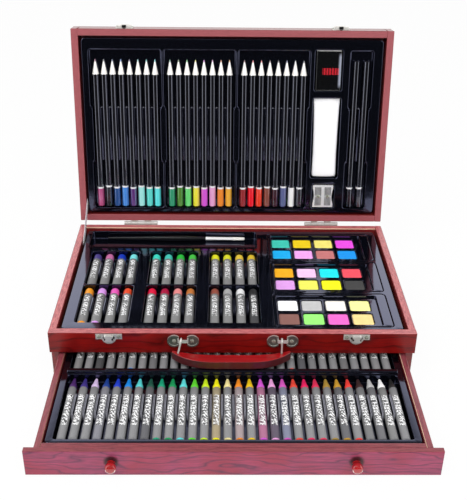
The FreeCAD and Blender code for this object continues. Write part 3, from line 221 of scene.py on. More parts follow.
LID_AXIS = Vector(joint("lid_hinge")["pos_m"])
LID_ANGLE = math.radians(joint("lid_hinge")["range_deg"][1])
HALF_DEPTH = high("case_back").y
CASE_TOP = high("case_back").z
LID_RIM = 2 * LID_AXIS.z - CASE_TOP
OPENING = (Matrix.Translation(LID_AXIS) @ Matrix.Rotation(-LID_ANGLE, 4, "X")
           @ Matrix.Translation(-LID_AXIS))
LID_SPACE = OPENING @ Matrix.Translation((0, HALF_DEPTH, LID_RIM)) @ Matrix.Rotation(math.pi, 4, "X")
CASE_SPACE = Matrix()


# Meshes

def merged(node):
    """A copy of a CAD node's mesh with its loose triangles joined."""
    bm = bmesh.new()
    bm.from_mesh(frame["nodes"][node].data)
    bmesh.ops.remove_doubles(bm, verts=bm.verts, dist=MM / 500)
    return bm


def corners_round(points):
    """The lowest and the highest corner round some points."""
    return tuple(Vector([pick(p[i] for p in points) for i in range(3)]) for pick in (min, max))


def reach(boxes):
    """The corners round several boxes."""
    return corners_round([corner for box in boxes for corner in box])


def solids(node, space=CASE_SPACE):
    """Lowest and highest corner of each separate solid of a CAD node, seen in a space."""
    bm = merged(node)
    bm.transform(space.inverted())
    left = set(bm.verts)
    found = []
    while left:
        pending = [left.pop()]
        group = []
        while pending:
            vert = pending.pop()
            group.append(vert.co.copy())
            for edge in vert.link_edges:
                other = edge.other_vert(vert)
                if other in left:
                    left.remove(other)
                    pending.append(other)
        found.append(corners_round(group))
    bm.free()
    return sorted(found, key=lambda pair: (round(pair[0].x / MM), pair[0].y))


def middles(node):
    return [(a + b) / 2 for a, b in solids(node)]


def pitch(boxes, places=1):
    """How far to the right of the first box another one stands."""
    return boxes[places][0].x - boxes[0][0].x


def stick_size(boxes):
    """Length and radius in millimetres of a row's sticks, and the middle of the first one's near end."""
    a, b = boxes[0]
    return (b.y - a.y) / MM, (b.z - a.z) / MM / 2, Vector(((a.x + b.x) / 2, a.y, (a.z + b.z) / 2))


def piece(name, mesh, materials):
    obj = bpy.data.objects.new(name, mesh)
    bpy.context.scene.collection.objects.link(obj)
    for material in materials:
        mesh.materials.append(material)
    return obj


def mesh_from(bm, name):
    mesh = bpy.data.meshes.new(name)
    bm.to_mesh(mesh)
    bm.free()
    return mesh


def applied(obj):
    """Turn the modified object into a plain mesh."""
    graph = bpy.context.evaluated_depsgraph_get()
    mesh = bpy.data.meshes.new_from_object(obj.evaluated_get(graph), preserve_all_data_layers=True,
                                           depsgraph=graph)
    mesh.name = obj.name
    obj.modifiers.clear()
    obj.data = mesh
    return obj


def smooth(mesh, angle=40):
    mesh.shade_smooth()
    mesh.set_sharp_from_angle(angle=math.radians(angle))


def evened(obj):
    """Turn the object into a plain mesh whose large faces keep their shading flat."""
    obj.modifiers.new("even shading", "WEIGHTED_NORMAL").keep_sharp = True
    return applied(obj)


def repaint(obj, material, test):
    """Give another material to the faces that pass a test."""
    obj.data.materials.append(material)
    for face in obj.data.polygons:
        if test(face):
            face.material_index = len(obj.data.materials) - 1


def finish(obj, body, slot, *nodes):
    """Tie a finished piece to its body and hide the CAD nodes it stands for. The slot is not used."""
    if not obj.data.polygons:
        raise RuntimeError(obj.name + " came out empty")
    if nodes:
        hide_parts(*nodes)
    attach(obj, body)
    return obj


def dress(node, name, materials, body, slot, edge=0.0, least=0.0, rule=None):
    """A finished copy of a CAD node, with its edges rounded and its faces given materials by a rule."""
    bm = merged(node)
    bmesh.ops.dissolve_limit(bm, angle_limit=FLAT, verts=bm.verts, edges=bm.edges)
    weight = bm.edges.layers.float.new("bevel_weight_edge")
    for e in bm.edges:
        if e.is_manifold and e.calc_face_angle() > SHARP and e.calc_length() > least:
            e[weight] = 1.0
    mesh = mesh_from(bm, name)
    smooth(mesh)
    obj = piece(name, mesh, materials)
    if edge:
        rounding = obj.modifiers.new("rounding", "BEVEL")
        rounding.limit_method = "WEIGHT"
        rounding.width = edge
        rounding.segments = 3
        rounding.use_clamp_overlap = True
    evened(obj)
    if rule:
        for face in obj.data.polygons:
            face.material_index = rule(face)
    return finish(obj, body, slot, node)


def outline(corners, radius, grow=0.0, steps=4):
    """Points round a right-angled shape, counter-clockwise; grow moves its sides out."""
    points = []
    count = len(corners)
    for i, corner in enumerate(corners):
        before = (Vector(corner) - Vector(corners[i - 1])).normalized()
        after = (Vector(corners[(i + 1) % count]) - Vector(corner)).normalized()
        out_before = Vector((before.y, -before.x))
        out_after = Vector((after.y, -after.x))
        turn = round(before.x * after.y - before.y * after.x)
        if turn == 0:
            points.append(Vector(corner) + out_before * grow)
            continue
        place = Vector(corner) + (out_before + out_after) * grow
        bend = max(radius + turn * grow, 0.05)
        centre = place - (out_before + out_after) * bend * turn
        for k in range(steps + 1):
            angle = math.pi / 2 * k / steps
            way = out_before * math.cos(angle) + out_after * math.sin(angle)
            points.append(centre + way * bend * turn)
    return points


def rectangle(x0, x1, y0, y1):
    return [(x0, y0), (x1, y0), (x1, y1), (x0, y1)]


def loft(bm, rings, first=False, last=False):
    """Skin rings one to the next, and close the first or the last."""
    for one, other in zip(rings, rings[1:]):
        for i in range(len(one)):
            j = (i + 1) % len(one)
            bm.faces.new((one[i], one[j], other[j], other[i]))
    if first:
        bm.faces.new(rings[0])
    if last:
        bm.faces.new(rings[-1])
    return rings


def stack(bm, corners, radius, stations, steps=4, **closed):
    """Rings of one outline at (grow, z) stations in millimetres, skinned one to the next."""
    rings = [[bm.verts.new((p.x * MM, p.y * MM, z * MM)) for p in outline(corners, radius, grow, steps)]
             for grow, z in stations]
    return loft(bm, rings, **closed)


def fill(bm, outer, holes):
    """A flat sheet inside one ring and outside the others."""
    edges = []
    for loop in [outer] + holes:
        for a, b in zip(loop, loop[1:] + loop[:1]):
            edges.append(bm.edges.get((a, b)) or bm.edges.new((a, b)))
    bmesh.ops.triangle_fill(bm, use_beauty=True, use_dissolve=False, edges=edges)


def quarter(steps=3):
    return [math.pi / 2 * k / steps for k in range(steps + 1)]


def pocket(bm, corners, radius, top, depth, close=True, rim=None, foot=None, draft=None):
    """A formed pocket. Returns its ring on the sheet and its ring on the floor."""
    tray = settings().tray
    rim = tray.rim / MM if rim is None else rim
    foot = tray.floor_round / MM if foot is None else foot
    draft = tray.draft / MM if draft is None else draft
    stations = [(rim * (1 - math.sin(a)), top - rim * (1 - math.cos(a))) for a in quarter()]
    stations += [(-draft - foot * (1 - math.cos(a)), top - depth + foot * (1 - math.sin(a)))
                 for a in quarter()]
    rings = stack(bm, corners, radius, stations, last=close)
    return rings[0], rings[-1]


def well_round(boxes, margins):
    """The outline in millimetres round some boxes, with margins left, right, front and back."""
    a, b = (corner / MM for corner in reach(boxes))
    return rectangle(a.x - margins[0], b.x + margins[1], a.y - margins[2], b.y + margins[3])


def well(bm, boxes, margins, top, corners=None):
    """A pocket round some boxes, down to just under them. Returns its ring on the sheet."""
    depth = top - boxes[0][0].z / MM + FLOOR_GAP
    return pocket(bm, corners or well_round(boxes, margins), POCKET_CORNER, top, depth)[0]


def closed_piece(bm, name, materials, space=CASE_SPACE, angle=40):
    """A piece from a closed mesh drawn in a space, with faces outward and even shading."""
    bmesh.ops.recalc_face_normals(bm, faces=bm.faces)
    bm.transform(space)
    mesh = mesh_from(bm, name)
    smooth(mesh, angle)
    return evened(piece(name, mesh, materials))


def formed_tray(bm, holes, node, name, body, top, space=CASE_SPACE):
    """The finished tray: a flange and a skirt round its pockets' rings, closed underneath."""
    a, b = (corner / MM for corner in reach(solids(node, space)))
    rim = settings().tray.rim / MM
    stations = [(-rim * (1 - math.sin(t)), top - rim * (1 - math.cos(t))) for t in quarter()]
    rings = stack(bm, rectangle(a.x, b.x, a.y, b.y), TRAY_CORNER, stations + [(0, a.z)], last=True)
    fill(bm, rings[0], holes)
    finish(closed_piece(bm, name, [tray_sheet()], space), body, "tray_plastic", node)


def ridge(width, length, height, crown=0.8):
    """A low rib drawn from its front end along Y and up from zero, with a rounded top."""
    bm = bmesh.new()
    half = width / 2
    crown = min(crown, half * 0.8)
    stations = [(0.25, 0), (0, height - crown)]
    stations += [(-crown * (1 - math.cos(a)), height - crown * (1 - math.sin(a))) for a in quarter(2)[1:]]
    stack(bm, rectangle(-half, half, 0, length), half * 0.9, stations, 2, first=True, last=True)
    bmesh.ops.recalc_face_normals(bm, faces=bm.faces)
    return bm


def lathe(profile, segments):
    """A closed turned mesh along Y from (along, radius) points in millimetres."""
    bm = bmesh.new()
    rings = []
    for along, radius in profile:
        angles = [2 * math.pi * i / segments for i in range(segments if radius else 1)]
        rings.append([bm.verts.new((radius * math.cos(t) * MM, along * MM, radius * math.sin(t) * MM))
                      for t in angles])
    for one, other in zip(rings, rings[1:]):
        for i in range(segments):
            j = (i + 1) % segments
            corners = [one[i % len(one)], one[j % len(one)], other[j % len(other)], other[i % len(other)]]
            bm.faces.new([v for k, v in enumerate(corners) if v not in corners[:k]])
    bmesh.ops.recalc_face_normals(bm, faces=bm.faces)
    return bm


# Node trees

def add(tree, kind, *values, out=0, stops=(), **named):
    """Add a node and give back one of its outputs, or the node itself where out is None.

    Values go to its inputs in order and are linked where they are sockets. Keywords with a capital
    are inputs by name, with underscores for spaces, and the others are the node's own settings."""
    node = tree.nodes.new(kind if "Node" in kind else "ShaderNode" + kind)
    for key, value in named.items():
        if key[0].islower():
            setattr(node, key, value)
    usable = [socket for socket in node.inputs if socket.enabled]
    inputs = [(usable[i], value) for i, value in enumerate(values)]
    inputs += [(node.inputs[key.replace("_", " ")], value) for key, value in named.items()
               if key[0].isupper()]
    for socket, value in inputs:
        if isinstance(value, bpy.types.NodeSocket):
            tree.links.new(value, socket)
        else:
            socket.default_value = value
    if stops:
        ramp = node.color_ramp
        while len(ramp.elements) < len(stops):
            ramp.elements.new(1.0)
        for element, (place, colour) in zip(ramp.elements, stops):
            element.position = place
            element.color = colour
    outputs = [socket for socket in node.outputs if socket.enabled]
    if out is None or not outputs:
        return node
    return outputs[out] if isinstance(out, int) else node.outputs[out]


def new_material(name):
    material = bpy.data.materials.new(name)
    material.use_nodes = True
    material.node_tree.nodes.clear()
    return material, material.node_tree


def surface(material, bump=None, **sockets):
    """Give a material its output and its shader, with these sockets.

    bump is a height, its strength and its depth in millimetres."""
    tree = material.node_tree
    if bump:
        height, strength, depth = bump
        sockets["Normal"] = add(tree, "Bump", Height=height, Strength=strength, Distance=depth * MM)
    add(tree, "OutputMaterial", Surface=add(tree, "BsdfPrincipled", **sockets))
    return material


def material_once(name, make, *args, **kwargs):
    """The material of that name, made the first time it is asked for."""
    return bpy.data.materials.get(name) or make(name, *args, **kwargs)


def grey(value):
    return (value, value, value, 1.0)


def where_all(tree, *masks):
    """1 only where every mask is 1."""
    product = masks[0]
    for mask in masks[1:]:
        product = add(tree, "Math", product, mask, operation="MULTIPLY")
    return product


def between(tree, value, start, end, soft=0.15):
    """1 between two edges in millimetres, else 0."""
    rise = add(tree, "MapRange", value, start - soft, start + soft)
    fall = add(tree, "MapRange", value, end - soft, end + soft, 1, 0)
    return where_all(tree, rise, fall)


def near(tree, place, middle, radius, soft=0.4, weights=(1, 1, 1), most=1.0):
    """Most within a radius in millimetres of a point, fading to 0; weights leave out a direction."""
    off = add(tree, "VectorMath", place, middle, operation="SUBTRACT")
    kept = add(tree, "VectorMath", off, weights, operation="MULTIPLY")
    far = add(tree, "VectorMath", kept, operation="LENGTH")
    return add(tree, "MapRange", far, (radius - soft) * MM, (radius + soft) * MM, most, 0)


def painted(tree, colour, *layers):
    """A colour with (mask, colour) layers over it, one after the other."""
    for mask, layer in layers:
        colour = add(tree, "Mix", mask, colour, layer, data_type="RGBA")
    return colour


def toned(tree, colour, value, darkest, lightest, start=0, end=1):
    """A colour scaled from darkest to lightest as a value goes from start to end."""
    tone = add(tree, "MapRange", value, start, end, darkest, lightest)
    plain = colour if isinstance(colour, bpy.types.NodeSocket) else tuple(colour)[:3]
    return add(tree, "VectorMath", plain, tone, operation="SCALE")


def along_grain(tree, place, way, along, across):
    """A place squeezed so that a pattern of size one is along by across millimetres."""
    scale = [1 / (across * MM)] * 3
    scale["XYZ".index(way)] = 1 / (along * MM)
    return add(tree, "Mapping", Vector=place, Scale=scale)


def stained_wood(name, dark, light, warm=None, way="X", lid=False, streak=2.2, length=70.0, figure=None,
                 figure_pitch=6.0, wild=9.0, coat=0.35, roughness=0.42, ior=1.5, knob_shadows=()):
    """Stained and lacquered softwood board: long streaks along the grain, fine pores and a soft sheen.

    The eye gets dark growth lines running along the board and a clear coat over an uneven red stain.
    The knob shadows are places where a pull is glued on, each with a painted shadow of the pull just above
    it."""
    material, tree = new_material(name)
    place = add(tree, "TexCoord", out="Object")
    if lid:
        place = add(tree, "Mapping", Vector=place, Rotation=(LID_ANGLE, 0, 0))
    streaks = add(tree, "TexNoise", Vector=along_grain(tree, place, way, length, streak), Scale=1,
                  Detail=5, Roughness=0.65, Distortion=0.3)
    pores = add(tree, "TexNoise", Vector=along_grain(tree, place, way, length / 4, streak / 4), Scale=1,
                Detail=2)
    colour = add(tree, "ValToRGB", streaks, stops=[(0.3, dark), (0.62, light)])
    if warm:
        patches = add(tree, "TexNoise", Vector=place, Scale=1 / (38 * MM), Detail=2)
        warmth = add(tree, "ValToRGB", patches, stops=[(0.42, grey(0)), (0.66, grey(0.8))])
        colour = painted(tree, colour, (warmth, warm))
    speckle = add(tree, "ValToRGB", pores, stops=[(0.3, grey(0.62)), (0.55, grey(1))])
    colour = add(tree, "Mix", 0.6, colour, speckle, data_type="RGBA", blend_type="MULTIPLY")
    if figure:
        wander = add(tree, "TexNoise", Vector=along_grain(tree, place, way, 85, 26), Scale=1, Detail=2.5,
                     Roughness=0.55)
        up = add(tree, "Math", add(tree, "SeparateXYZ", place, out="Z"), 1 / (figure_pitch * MM),
                 operation="MULTIPLY")
        bent = add(tree, "Math", wander, wild, up, operation="MULTIPLY_ADD")
        wave = add(tree, "Math", bent, 1, operation="PINGPONG")
        lines = add(tree, "ValToRGB", wave, stops=[(0, grey(0.85)), (0.16, grey(0.35)), (0.4, grey(0))])
        broken = add(tree, "Math", lines, streaks, operation="MULTIPLY", use_clamp=True)
        strong = add(tree, "Math", broken, 1.7, operation="MULTIPLY", use_clamp=True)
        colour = painted(tree, colour, (strong, figure))
    # Painted shadow: a dark patch just above each pull, standing in for the pull's shadow on the face
    for knob_shadow in knob_shadows:
        painted_shadow = near(tree, place, knob_shadow + Vector((0, 0, 2 * MM)), 6.4, 1.2, (1, 0, 1), 0.92)
        colour = painted(tree, colour, (painted_shadow, linear("#2A0408")))
    return surface(material, Base_Color=colour, Roughness=roughness, IOR=ior, Coat_Weight=coat,
                   Coat_Roughness=0.2,
                   bump=(pores, 0.12, 0.15))


def bare_wood(name, code, way="X"):
    """Sanded bare softwood edge: dry, pale and fibrous."""
    material, tree = new_material(name)
    place = along_grain(tree, add(tree, "TexCoord", out="Object"), way, 30, 1.5)
    fibres = add(tree, "TexNoise", Vector=place, Scale=1, Detail=3)
    base = linear(code) if isinstance(code, str) else tuple(code)
    dark = tuple(c * 0.7 for c in base[:3]) + (1,)
    shade = add(tree, "ValToRGB", fibres, stops=[(0.3, dark), (0.65, base)])
    return surface(material, Base_Color=shade, Roughness=0.7)


def formed_sheet_finish(name):
    """High-gloss styrene sheet, vacuum formed: black, mirror bright, with a faint ripple."""
    material, tree = new_material(name)
    place = add(tree, "TexCoord", out="Object")
    ripple = add(tree, "TexNoise", Vector=place, Scale=1 / (9 * MM), Detail=2)
    dust = add(tree, "TexNoise", Vector=place, Scale=1 / (3 * MM), Detail=3)
    return surface(material, Base_Color=tuple(settings().tray.colour), IOR=2.1,
                   Roughness=add(tree, "MapRange", dust, 0, 1, 0.05, 0.13),
                   Specular_Tint=linear("#C8CEFF"), Coat_Weight=0.25, Coat_Roughness=0.04, Coat_IOR=1.5,
                   bump=(ripple, 0.06, 0.6))


def pencil_finish(name):
    """Lacquered basswood pencil: black gloss lacquer, a coloured dip with a white ring, bare pale cone."""
    stick = settings().stick
    material, tree = new_material(name)
    place = add(tree, "Attribute", attribute_name="place", out="Vector")
    tint = add(tree, "Attribute", attribute_name="tint", out="Color")
    zone = add(tree, "Attribute", attribute_name="zone", out="Fac")
    # By chance a pencil is dipped by up to a millimetre more or less than the dip's size
    chance = add(tree, "Attribute", attribute_name="chance", out="Fac")
    along = add(tree, "Math", chance, 2, add(tree, "SeparateXYZ", place, out="Y"),
                operation="MULTIPLY_ADD")
    dip = stick.dip / MM + 1
    bare = add(tree, "Math", zone, 0.5, operation="GREATER_THAN")
    lead = add(tree, "Math", zone, 1.5, operation="GREATER_THAN")
    fibres = add(tree, "TexNoise", Vector=add(tree, "Mapping", Vector=place, Scale=(2.5, 0.15, 2.5)),
                 Scale=1, Detail=2)
    wood = add(tree, "ValToRGB", fibres,
               stops=[(0.3, linear("#F2EADC")), (0.55, tuple(stick.pencil_wood))])
    colour = painted(tree, tuple(stick.lacquer), (between(tree, along, -5, dip), tint),
                     (between(tree, along, dip, dip + stick.ring / MM), linear("#FAFAFA")), (bare, wood),
                     (lead, painted(tree, tint, (0.45, linear("#D8D6D2")))))
    return surface(material, Base_Color=colour, Roughness=add(tree, "MapRange", bare, 0, 1, 0.16, 0.65),
                   IOR=2.2, Specular_Tint=linear("#D4DAFF"),
                   Coat_Weight=add(tree, "MapRange", bare, 0, 1, 1, 0), Coat_IOR=1.9, Coat_Roughness=0.08)


def wrapped_finish(name, wrap_end, words, strip, pitch, slant):
    """Moulded wax stick in a printed paper sleeve: satin wax at the ends, dull grey paper between.

    words are (start, end) stretches of the paper that hold light marks, strip is their half width."""
    material, tree = new_material(name)
    place = add(tree, "Attribute", attribute_name="place", out="Vector")
    tint = add(tree, "Attribute", attribute_name="tint", out="Color")
    chance = add(tree, "Attribute", attribute_name="chance", out="Fac")
    foot = add(tree, "Attribute", attribute_name="foot", out="Fac")
    paper = add(tree, "Attribute", attribute_name="paper", out="Color")
    across, along, up = add(tree, "SeparateXYZ", place, out=None).outputs
    sleeve = where_all(tree, add(tree, "Math", along, foot, operation="GREATER_THAN"),
                       add(tree, "Math", along, wrap_end, operation="LESS_THAN"))
    # Bold marks across the stick, bent and broken by noise so that no two are alike
    shifted = along
    wander = add(tree, "TexNoise", Vector=place, Scale=0.42, Detail=1)
    for value, share in ((wander, 9), (across, slant), (chance, 9)):
        shifted = add(tree, "Math", value, share, shifted, operation="MULTIPLY_ADD")
    saw = add(tree, "Math", shifted, pitch / 2, operation="PINGPONG")
    bars = add(tree, "MapRange", saw, pitch * 0.15, pitch * 0.24)
    grain = add(tree, "TexNoise", Vector=place, Scale=0.75, Detail=1)
    worn = add(tree, "MapRange", grain, 0.38, 0.46)
    word = 0.0
    for start, end in words:
        word = add(tree, "Math", between(tree, along, start, end), word, operation="MAXIMUM")
    panel = where_all(tree, between(tree, across, -strip, strip, 0.25),
                      add(tree, "Math", up, 0, operation="GREATER_THAN"), word)
    fibre = add(tree, "TexNoise", Vector=place, Scale=2, Detail=3)
    paper = toned(tree, paper, fibre, 0.8, 1.16)
    paper = toned(tree, paper, along, 1, 0.68, wrap_end - 20, wrap_end)
    printed = painted(tree, paper, (where_all(tree, panel, 0.7), linear("#2E2E32")),
                      (where_all(tree, bars, worn, panel), tuple(settings().stick.ink)))
    return surface(material, Base_Color=painted(tree, tint, (sleeve, printed)), IOR=1.45,
                   Roughness=add(tree, "MapRange", sleeve, 0, 1, 0.38, 0.6),
                   bump=(fibre, 0.1, 0.1))


def cake_finish(name):
    """Pressed watercolour cake: chalky, faintly pitted and a little paler where it has dried."""
    material, tree = new_material(name)
    place = add(tree, "Attribute", attribute_name="place", out="Vector")
    tint = add(tree, "Attribute", attribute_name="tint", out="Color")
    mottle = add(tree, "TexNoise", Vector=place, Scale=0.22, Detail=3)
    pits = add(tree, "TexNoise", Vector=place, Scale=1.6, Detail=2)
    return surface(material, Base_Color=toned(tree, tint, mottle, 1, 1.25), Roughness=0.62, IOR=1.45,
                   bump=(pits, 0.35, 0.2))


def plated_steel(name, colour, roughness=0.34, scratch=0.15, haze=0.3, hollows=(), hollow=1.5,
                 weights=(1, 1, 1)):
    """Nickel-plated stamped steel: bright, with faint rub marks and a pale haze that soften the mirror.

    hollows are places where a painted shadow sits, each of the given radius in millimetres."""
    material, tree = new_material(name)
    place = add(tree, "TexCoord", out="Object")
    rubs = add(tree, "TexNoise", Vector=place, Scale=1 / (1.2 * MM), Detail=3)
    stains = add(tree, "TexNoise", Vector=place, Scale=1 / (6 * MM), Detail=2)
    # Painted shadow: a near-black patch round each hollow
    oil = [(near(tree, place, middle, hollow, weights=weights), linear("#101012")) for middle in hollows]
    shade = painted(tree, toned(tree, colour, stains, 1 - scratch, 1.05), *oil)
    return surface(material, Base_Color=shade, Metallic=1 - haze,
                   Roughness=add(tree, "MapRange", rubs, 0, 1, roughness * 0.7, roughness * 1.5),
                   bump=(rubs, 0.08, 0.1))


def gloss_lacquer(name, colour, dark=0.55, roughness=0.16, length=45.0, coat=1.0):
    """Sprayed gloss lacquer over turned or shaped wood: deep colour, grain just showing, wet shine."""
    material, tree = new_material(name)
    place = along_grain(tree, add(tree, "TexCoord", out="Object"), "X", length, 2)
    grain = add(tree, "TexNoise", Vector=place, Scale=1, Detail=4)
    return surface(material, Base_Color=toned(tree, colour, grain, dark, 1.1, 0.3, 0.7),
                   Roughness=roughness + 0.15, IOR=1.5, Coat_Weight=coat, Coat_Roughness=roughness * 0.5,
                   Coat_IOR=1.6)


def plain_finish(name, code, roughness, grit, bump=0.2, coat=0.0, vary=0.06):
    """A moulded, cast or woven surface: one colour with a fine grit of the given size in millimetres."""
    material, tree = new_material(name)
    noise = add(tree, "TexNoise", Vector=add(tree, "TexCoord", out="Object"), Scale=1 / (grit * MM),
                Detail=3)
    return surface(material, Base_Color=toned(tree, linear(code), noise, 1 - vary, 1 + vary),
                   Roughness=roughness, Coat_Weight=coat, Coat_Roughness=0.08,
                   bump=(noise, bump, 0.1))


def sleeve_finish(name):
    """Glossy black card sleeve: a row of short red marks, and a painted highlight as a pale band along one
    edge.
    """
    material, tree = new_material(name)
    place = add(tree, "Attribute", attribute_name="place", out="Vector")
    across, along, up = add(tree, "SeparateXYZ", place, out=None).outputs
    front = add(tree, "Math", up, 0, operation="GREATER_THAN")
    dashes = add(tree, "Math", add(tree, "Math", across, 1.6, operation="PINGPONG"), 0.45,
                 operation="GREATER_THAN")
    marks = where_all(tree, between(tree, along, -4.6, 3), between(tree, across, -7.3, 12), front, dashes)
    # Painted highlight: a pale band near the sleeve's right edge, where the glaze would catch the light
    rubbed = where_all(tree, between(tree, across, 11.9, 14.3, 1.2), between(tree, along, -18, 18, 2.5),
                       front)
    colour = painted(tree, linear("#050608"), (marks, linear("#B41826")), (rubbed, linear("#9CA2B4")))
    grain = add(tree, "TexNoise", Vector=place, Scale=0.5, Detail=2)
    return surface(material, Base_Color=colour, Roughness=0.22, Coat_Weight=0.8, Coat_Roughness=0.06,
                   bump=(grain, 0.1, 0.2))


def blade_finish(name):
    """Ground blade steel: grey, with dark grinding lines along the blade and a bright worn middle."""
    material, tree = new_material(name)
    place = add(tree, "Attribute", attribute_name="place", out="Vector")
    across, along, _ = add(tree, "SeparateXYZ", place, out=None).outputs
    # Lines every 1.5 mm, coarser than real grinding so that they show
    saw = add(tree, "Math", across, 0.75, operation="PINGPONG")
    light = add(tree, "Math", add(tree, "MapRange", saw, 0.3, 0.45), between(tree, along, -1.1, 1.1, 0.4),
                operation="MAXIMUM")
    colour = painted(tree, linear("#1E1E22"), (light, linear("#C8C8CA")))
    return surface(material, Base_Color=colour, Metallic=0.3, Roughness=0.4)


def ribbon_finish(name):
    """Polyester satin ribbon: white, with fine cross ribs and a silky sheen."""
    material, tree = new_material(name)
    along = add(tree, "SeparateXYZ", add(tree, "UVMap", uv_map="length"), out="Y")
    # Ribs every 0.6 mm, coarser than the real 0.2 mm so that they show
    ribs = add(tree, "Math", along, 2 * math.pi / (0.6 * MM), operation="MULTIPLY")
    wave = add(tree, "Math", ribs, operation="SINE")
    return surface(material, Base_Color=toned(tree, linear("#ECEAF0"), wave, 0.88, 1, -1, 1),
                   Roughness=0.35, Sheen_Weight=0.4, Sheen_Roughness=0.3,
                   bump=(wave, 0.2, 0.05))


def seen_rays(tree):
    """The camera's rays, and with them those that show a thing in reflections or through glass."""
    path = add(tree, "LightPath", out=None).outputs
    seen = path["Is Camera Ray"]
    for kind in ("Is Glossy Ray", "Is Transmission Ray"):
        seen = add(tree, "Math", seen, path[kind], operation="MAXIMUM")
    return path["Is Camera Ray"], seen


def floor_finish(name):
    """Matt white paper sweep: pale to the camera and in reflections, still holding a faint shadow."""
    material, tree = new_material(name)
    glowing = add(tree, "Math", seen_rays(tree)[1], FLOOR_GLOW, operation="MULTIPLY")
    matt = add(tree, "BsdfDiffuse", Color=tuple(settings().stage.floor))
    glow = add(tree, "Emission", Color=grey(1), Strength=1)
    add(tree, "OutputMaterial", Surface=add(tree, "MixShader", glowing, matt, glow))
    return material


def tray_sheet():
    return material_once("formed_black_styrene", formed_sheet_finish)


def nickel():
    return material_once("nickel_plated_steel", plated_steel, settings().metal.plate)


# Geometry Nodes trees

def new_group(name, sizes):
    """A modifier tree with a geometry input, named inputs and a geometry output."""
    tree = bpy.data.node_groups.new(name, "GeometryNodeTree")
    tree.is_modifier = True
    sizes = {"Geometry": "Geometry", "Piece": "Object", **sizes, "Material": "Material"}
    for label, kind in sizes.items():
        tree.interface.new_socket(name=label, in_out="INPUT", socket_type="NodeSocket" + kind)
    tree.interface.new_socket(name="Geometry", in_out="OUTPUT", socket_type="NodeSocketGeometry")
    return tree, add(tree, "NodeGroupInput", out=None).outputs


def realized(tree, points, sockets, **turning):
    """End a tree: instance the piece on the points, realize it and set its material."""
    source = add(tree, "GeometryNodeObjectInfo", sockets["Piece"], transform_space="ORIGINAL",
                 out="Geometry")
    placed = add(tree, "GeometryNodeInstanceOnPoints", Points=points, Instance=source, **turning)
    real = add(tree, "GeometryNodeRealizeInstances", Geometry=placed)
    done = add(tree, "GeometryNodeSetMaterial", Geometry=real, Material=sockets["Material"])
    add(tree, "NodeGroupOutput", Geometry=done)
    return tree


def even_rows(name):
    """Copies of a piece in rows: Count by Step, repeated Rows by Row Step and Groups by Group Step."""
    tree, sockets = new_group(name, {"Count": "Int", "Step": "Vector", "Rows": "Int",
                                     "Row Step": "Vector", "Groups": "Int", "Group Step": "Vector",
                                     "First": "Vector"})
    count, rows = sockets["Count"], sockets["Rows"]
    index = add(tree, "GeometryNodeInputIndex")
    in_rows = add(tree, "Math", count, rows, operation="MULTIPLY")
    total = add(tree, "Math", in_rows, sockets["Groups"], operation="MULTIPLY")
    column = add(tree, "Math", index, count, operation="MODULO")
    turns = add(tree, "Math", add(tree, "Math", index, count, operation="DIVIDE"), operation="FLOOR")
    row = add(tree, "Math", turns, rows, operation="MODULO")
    group = add(tree, "Math", add(tree, "Math", index, in_rows, operation="DIVIDE"), operation="FLOOR")
    place = sockets["First"]
    for number, step in ((column, "Step"), (row, "Row Step"), (group, "Group Step")):
        shift = add(tree, "VectorMath", sockets[step], number, operation="SCALE")
        place = add(tree, "VectorMath", place, shift)
    points = add(tree, "GeometryNodePoints", Count=total, Position=place)
    return realized(tree, points, sockets)


def turned_screws(name):
    """A screw head on every point of the mesh, sized by its radius and turned by chance on its axis."""
    tree, sockets = new_group(name, {"Head Radius": "Float", "Lean": "Vector", "Seed": "Int"})
    spin = add(tree, "FunctionNodeRandomValue", Min=0.0, Max=2 * math.pi, Seed=sockets["Seed"],
               data_type="FLOAT")
    spun = add(tree, "FunctionNodeEulerToRotation", add(tree, "CombineXYZ", Z=spin))
    leaning = add(tree, "FunctionNodeEulerToRotation", sockets["Lean"])
    both = add(tree, "FunctionNodeRotateRotation", leaning, spun, rotation_space="LOCAL")
    size = add(tree, "CombineXYZ", *[sockets["Head Radius"]] * 3)
    return realized(tree, sockets["Geometry"], sockets, Rotation=both, Scale=size)


def brush_strands(name):
    """Strands of a flat brush: Count of them scattered over the ferrule's mouth, each a little askew."""
    tree, sockets = new_group(name, {"Count": "Int", "Start": "Vector", "Half Width": "Float",
                                     "Half Thickness": "Float", "Splay": "Float", "Seed": "Int"})

    def by_chance(y, z, **more):
        most = add(tree, "CombineXYZ", Y=y, Z=z)
        least = add(tree, "VectorMath", most, -1, operation="SCALE")
        return add(tree, "FunctionNodeRandomValue", Min=least, Max=most, Seed=sockets["Seed"],
                   data_type="FLOAT_VECTOR", **more)

    offset = by_chance(sockets["Half Width"], sockets["Half Thickness"])
    sway = by_chance(sockets["Splay"], sockets["Splay"], ID=5)
    place = add(tree, "VectorMath", sockets["Start"], offset)
    points = add(tree, "GeometryNodePoints", Count=sockets["Count"], Position=place)
    return realized(tree, points, sockets, Rotation=add(tree, "FunctionNodeEulerToRotation", sway))


def grown(name, make_tree, template, material, base=None, **sizes):
    """A plain mesh piece from a Geometry Nodes tree; sizes are its inputs, with underscores for spaces."""
    holder = piece(name + "_one", template, [])
    obj = piece(name, base or bpy.data.meshes.new(name), [])
    modifier = obj.modifiers.new("made by nodes", "NODES")
    label = make_tree.__name__
    modifier.node_group = bpy.data.node_groups.get(label) or make_tree(label)
    values = {key.replace("_", " "): value for key, value in sizes.items()}
    values.update({"Piece": holder, "Material": material})
    for item in modifier.node_group.interface.items_tree:
        if item.item_type == "SOCKET" and item.in_out == "INPUT" and item.name != "Geometry":
            modifier[item.identifier] = values[item.name]
    applied(obj)
    bpy.data.objects.remove(holder)
    return obj


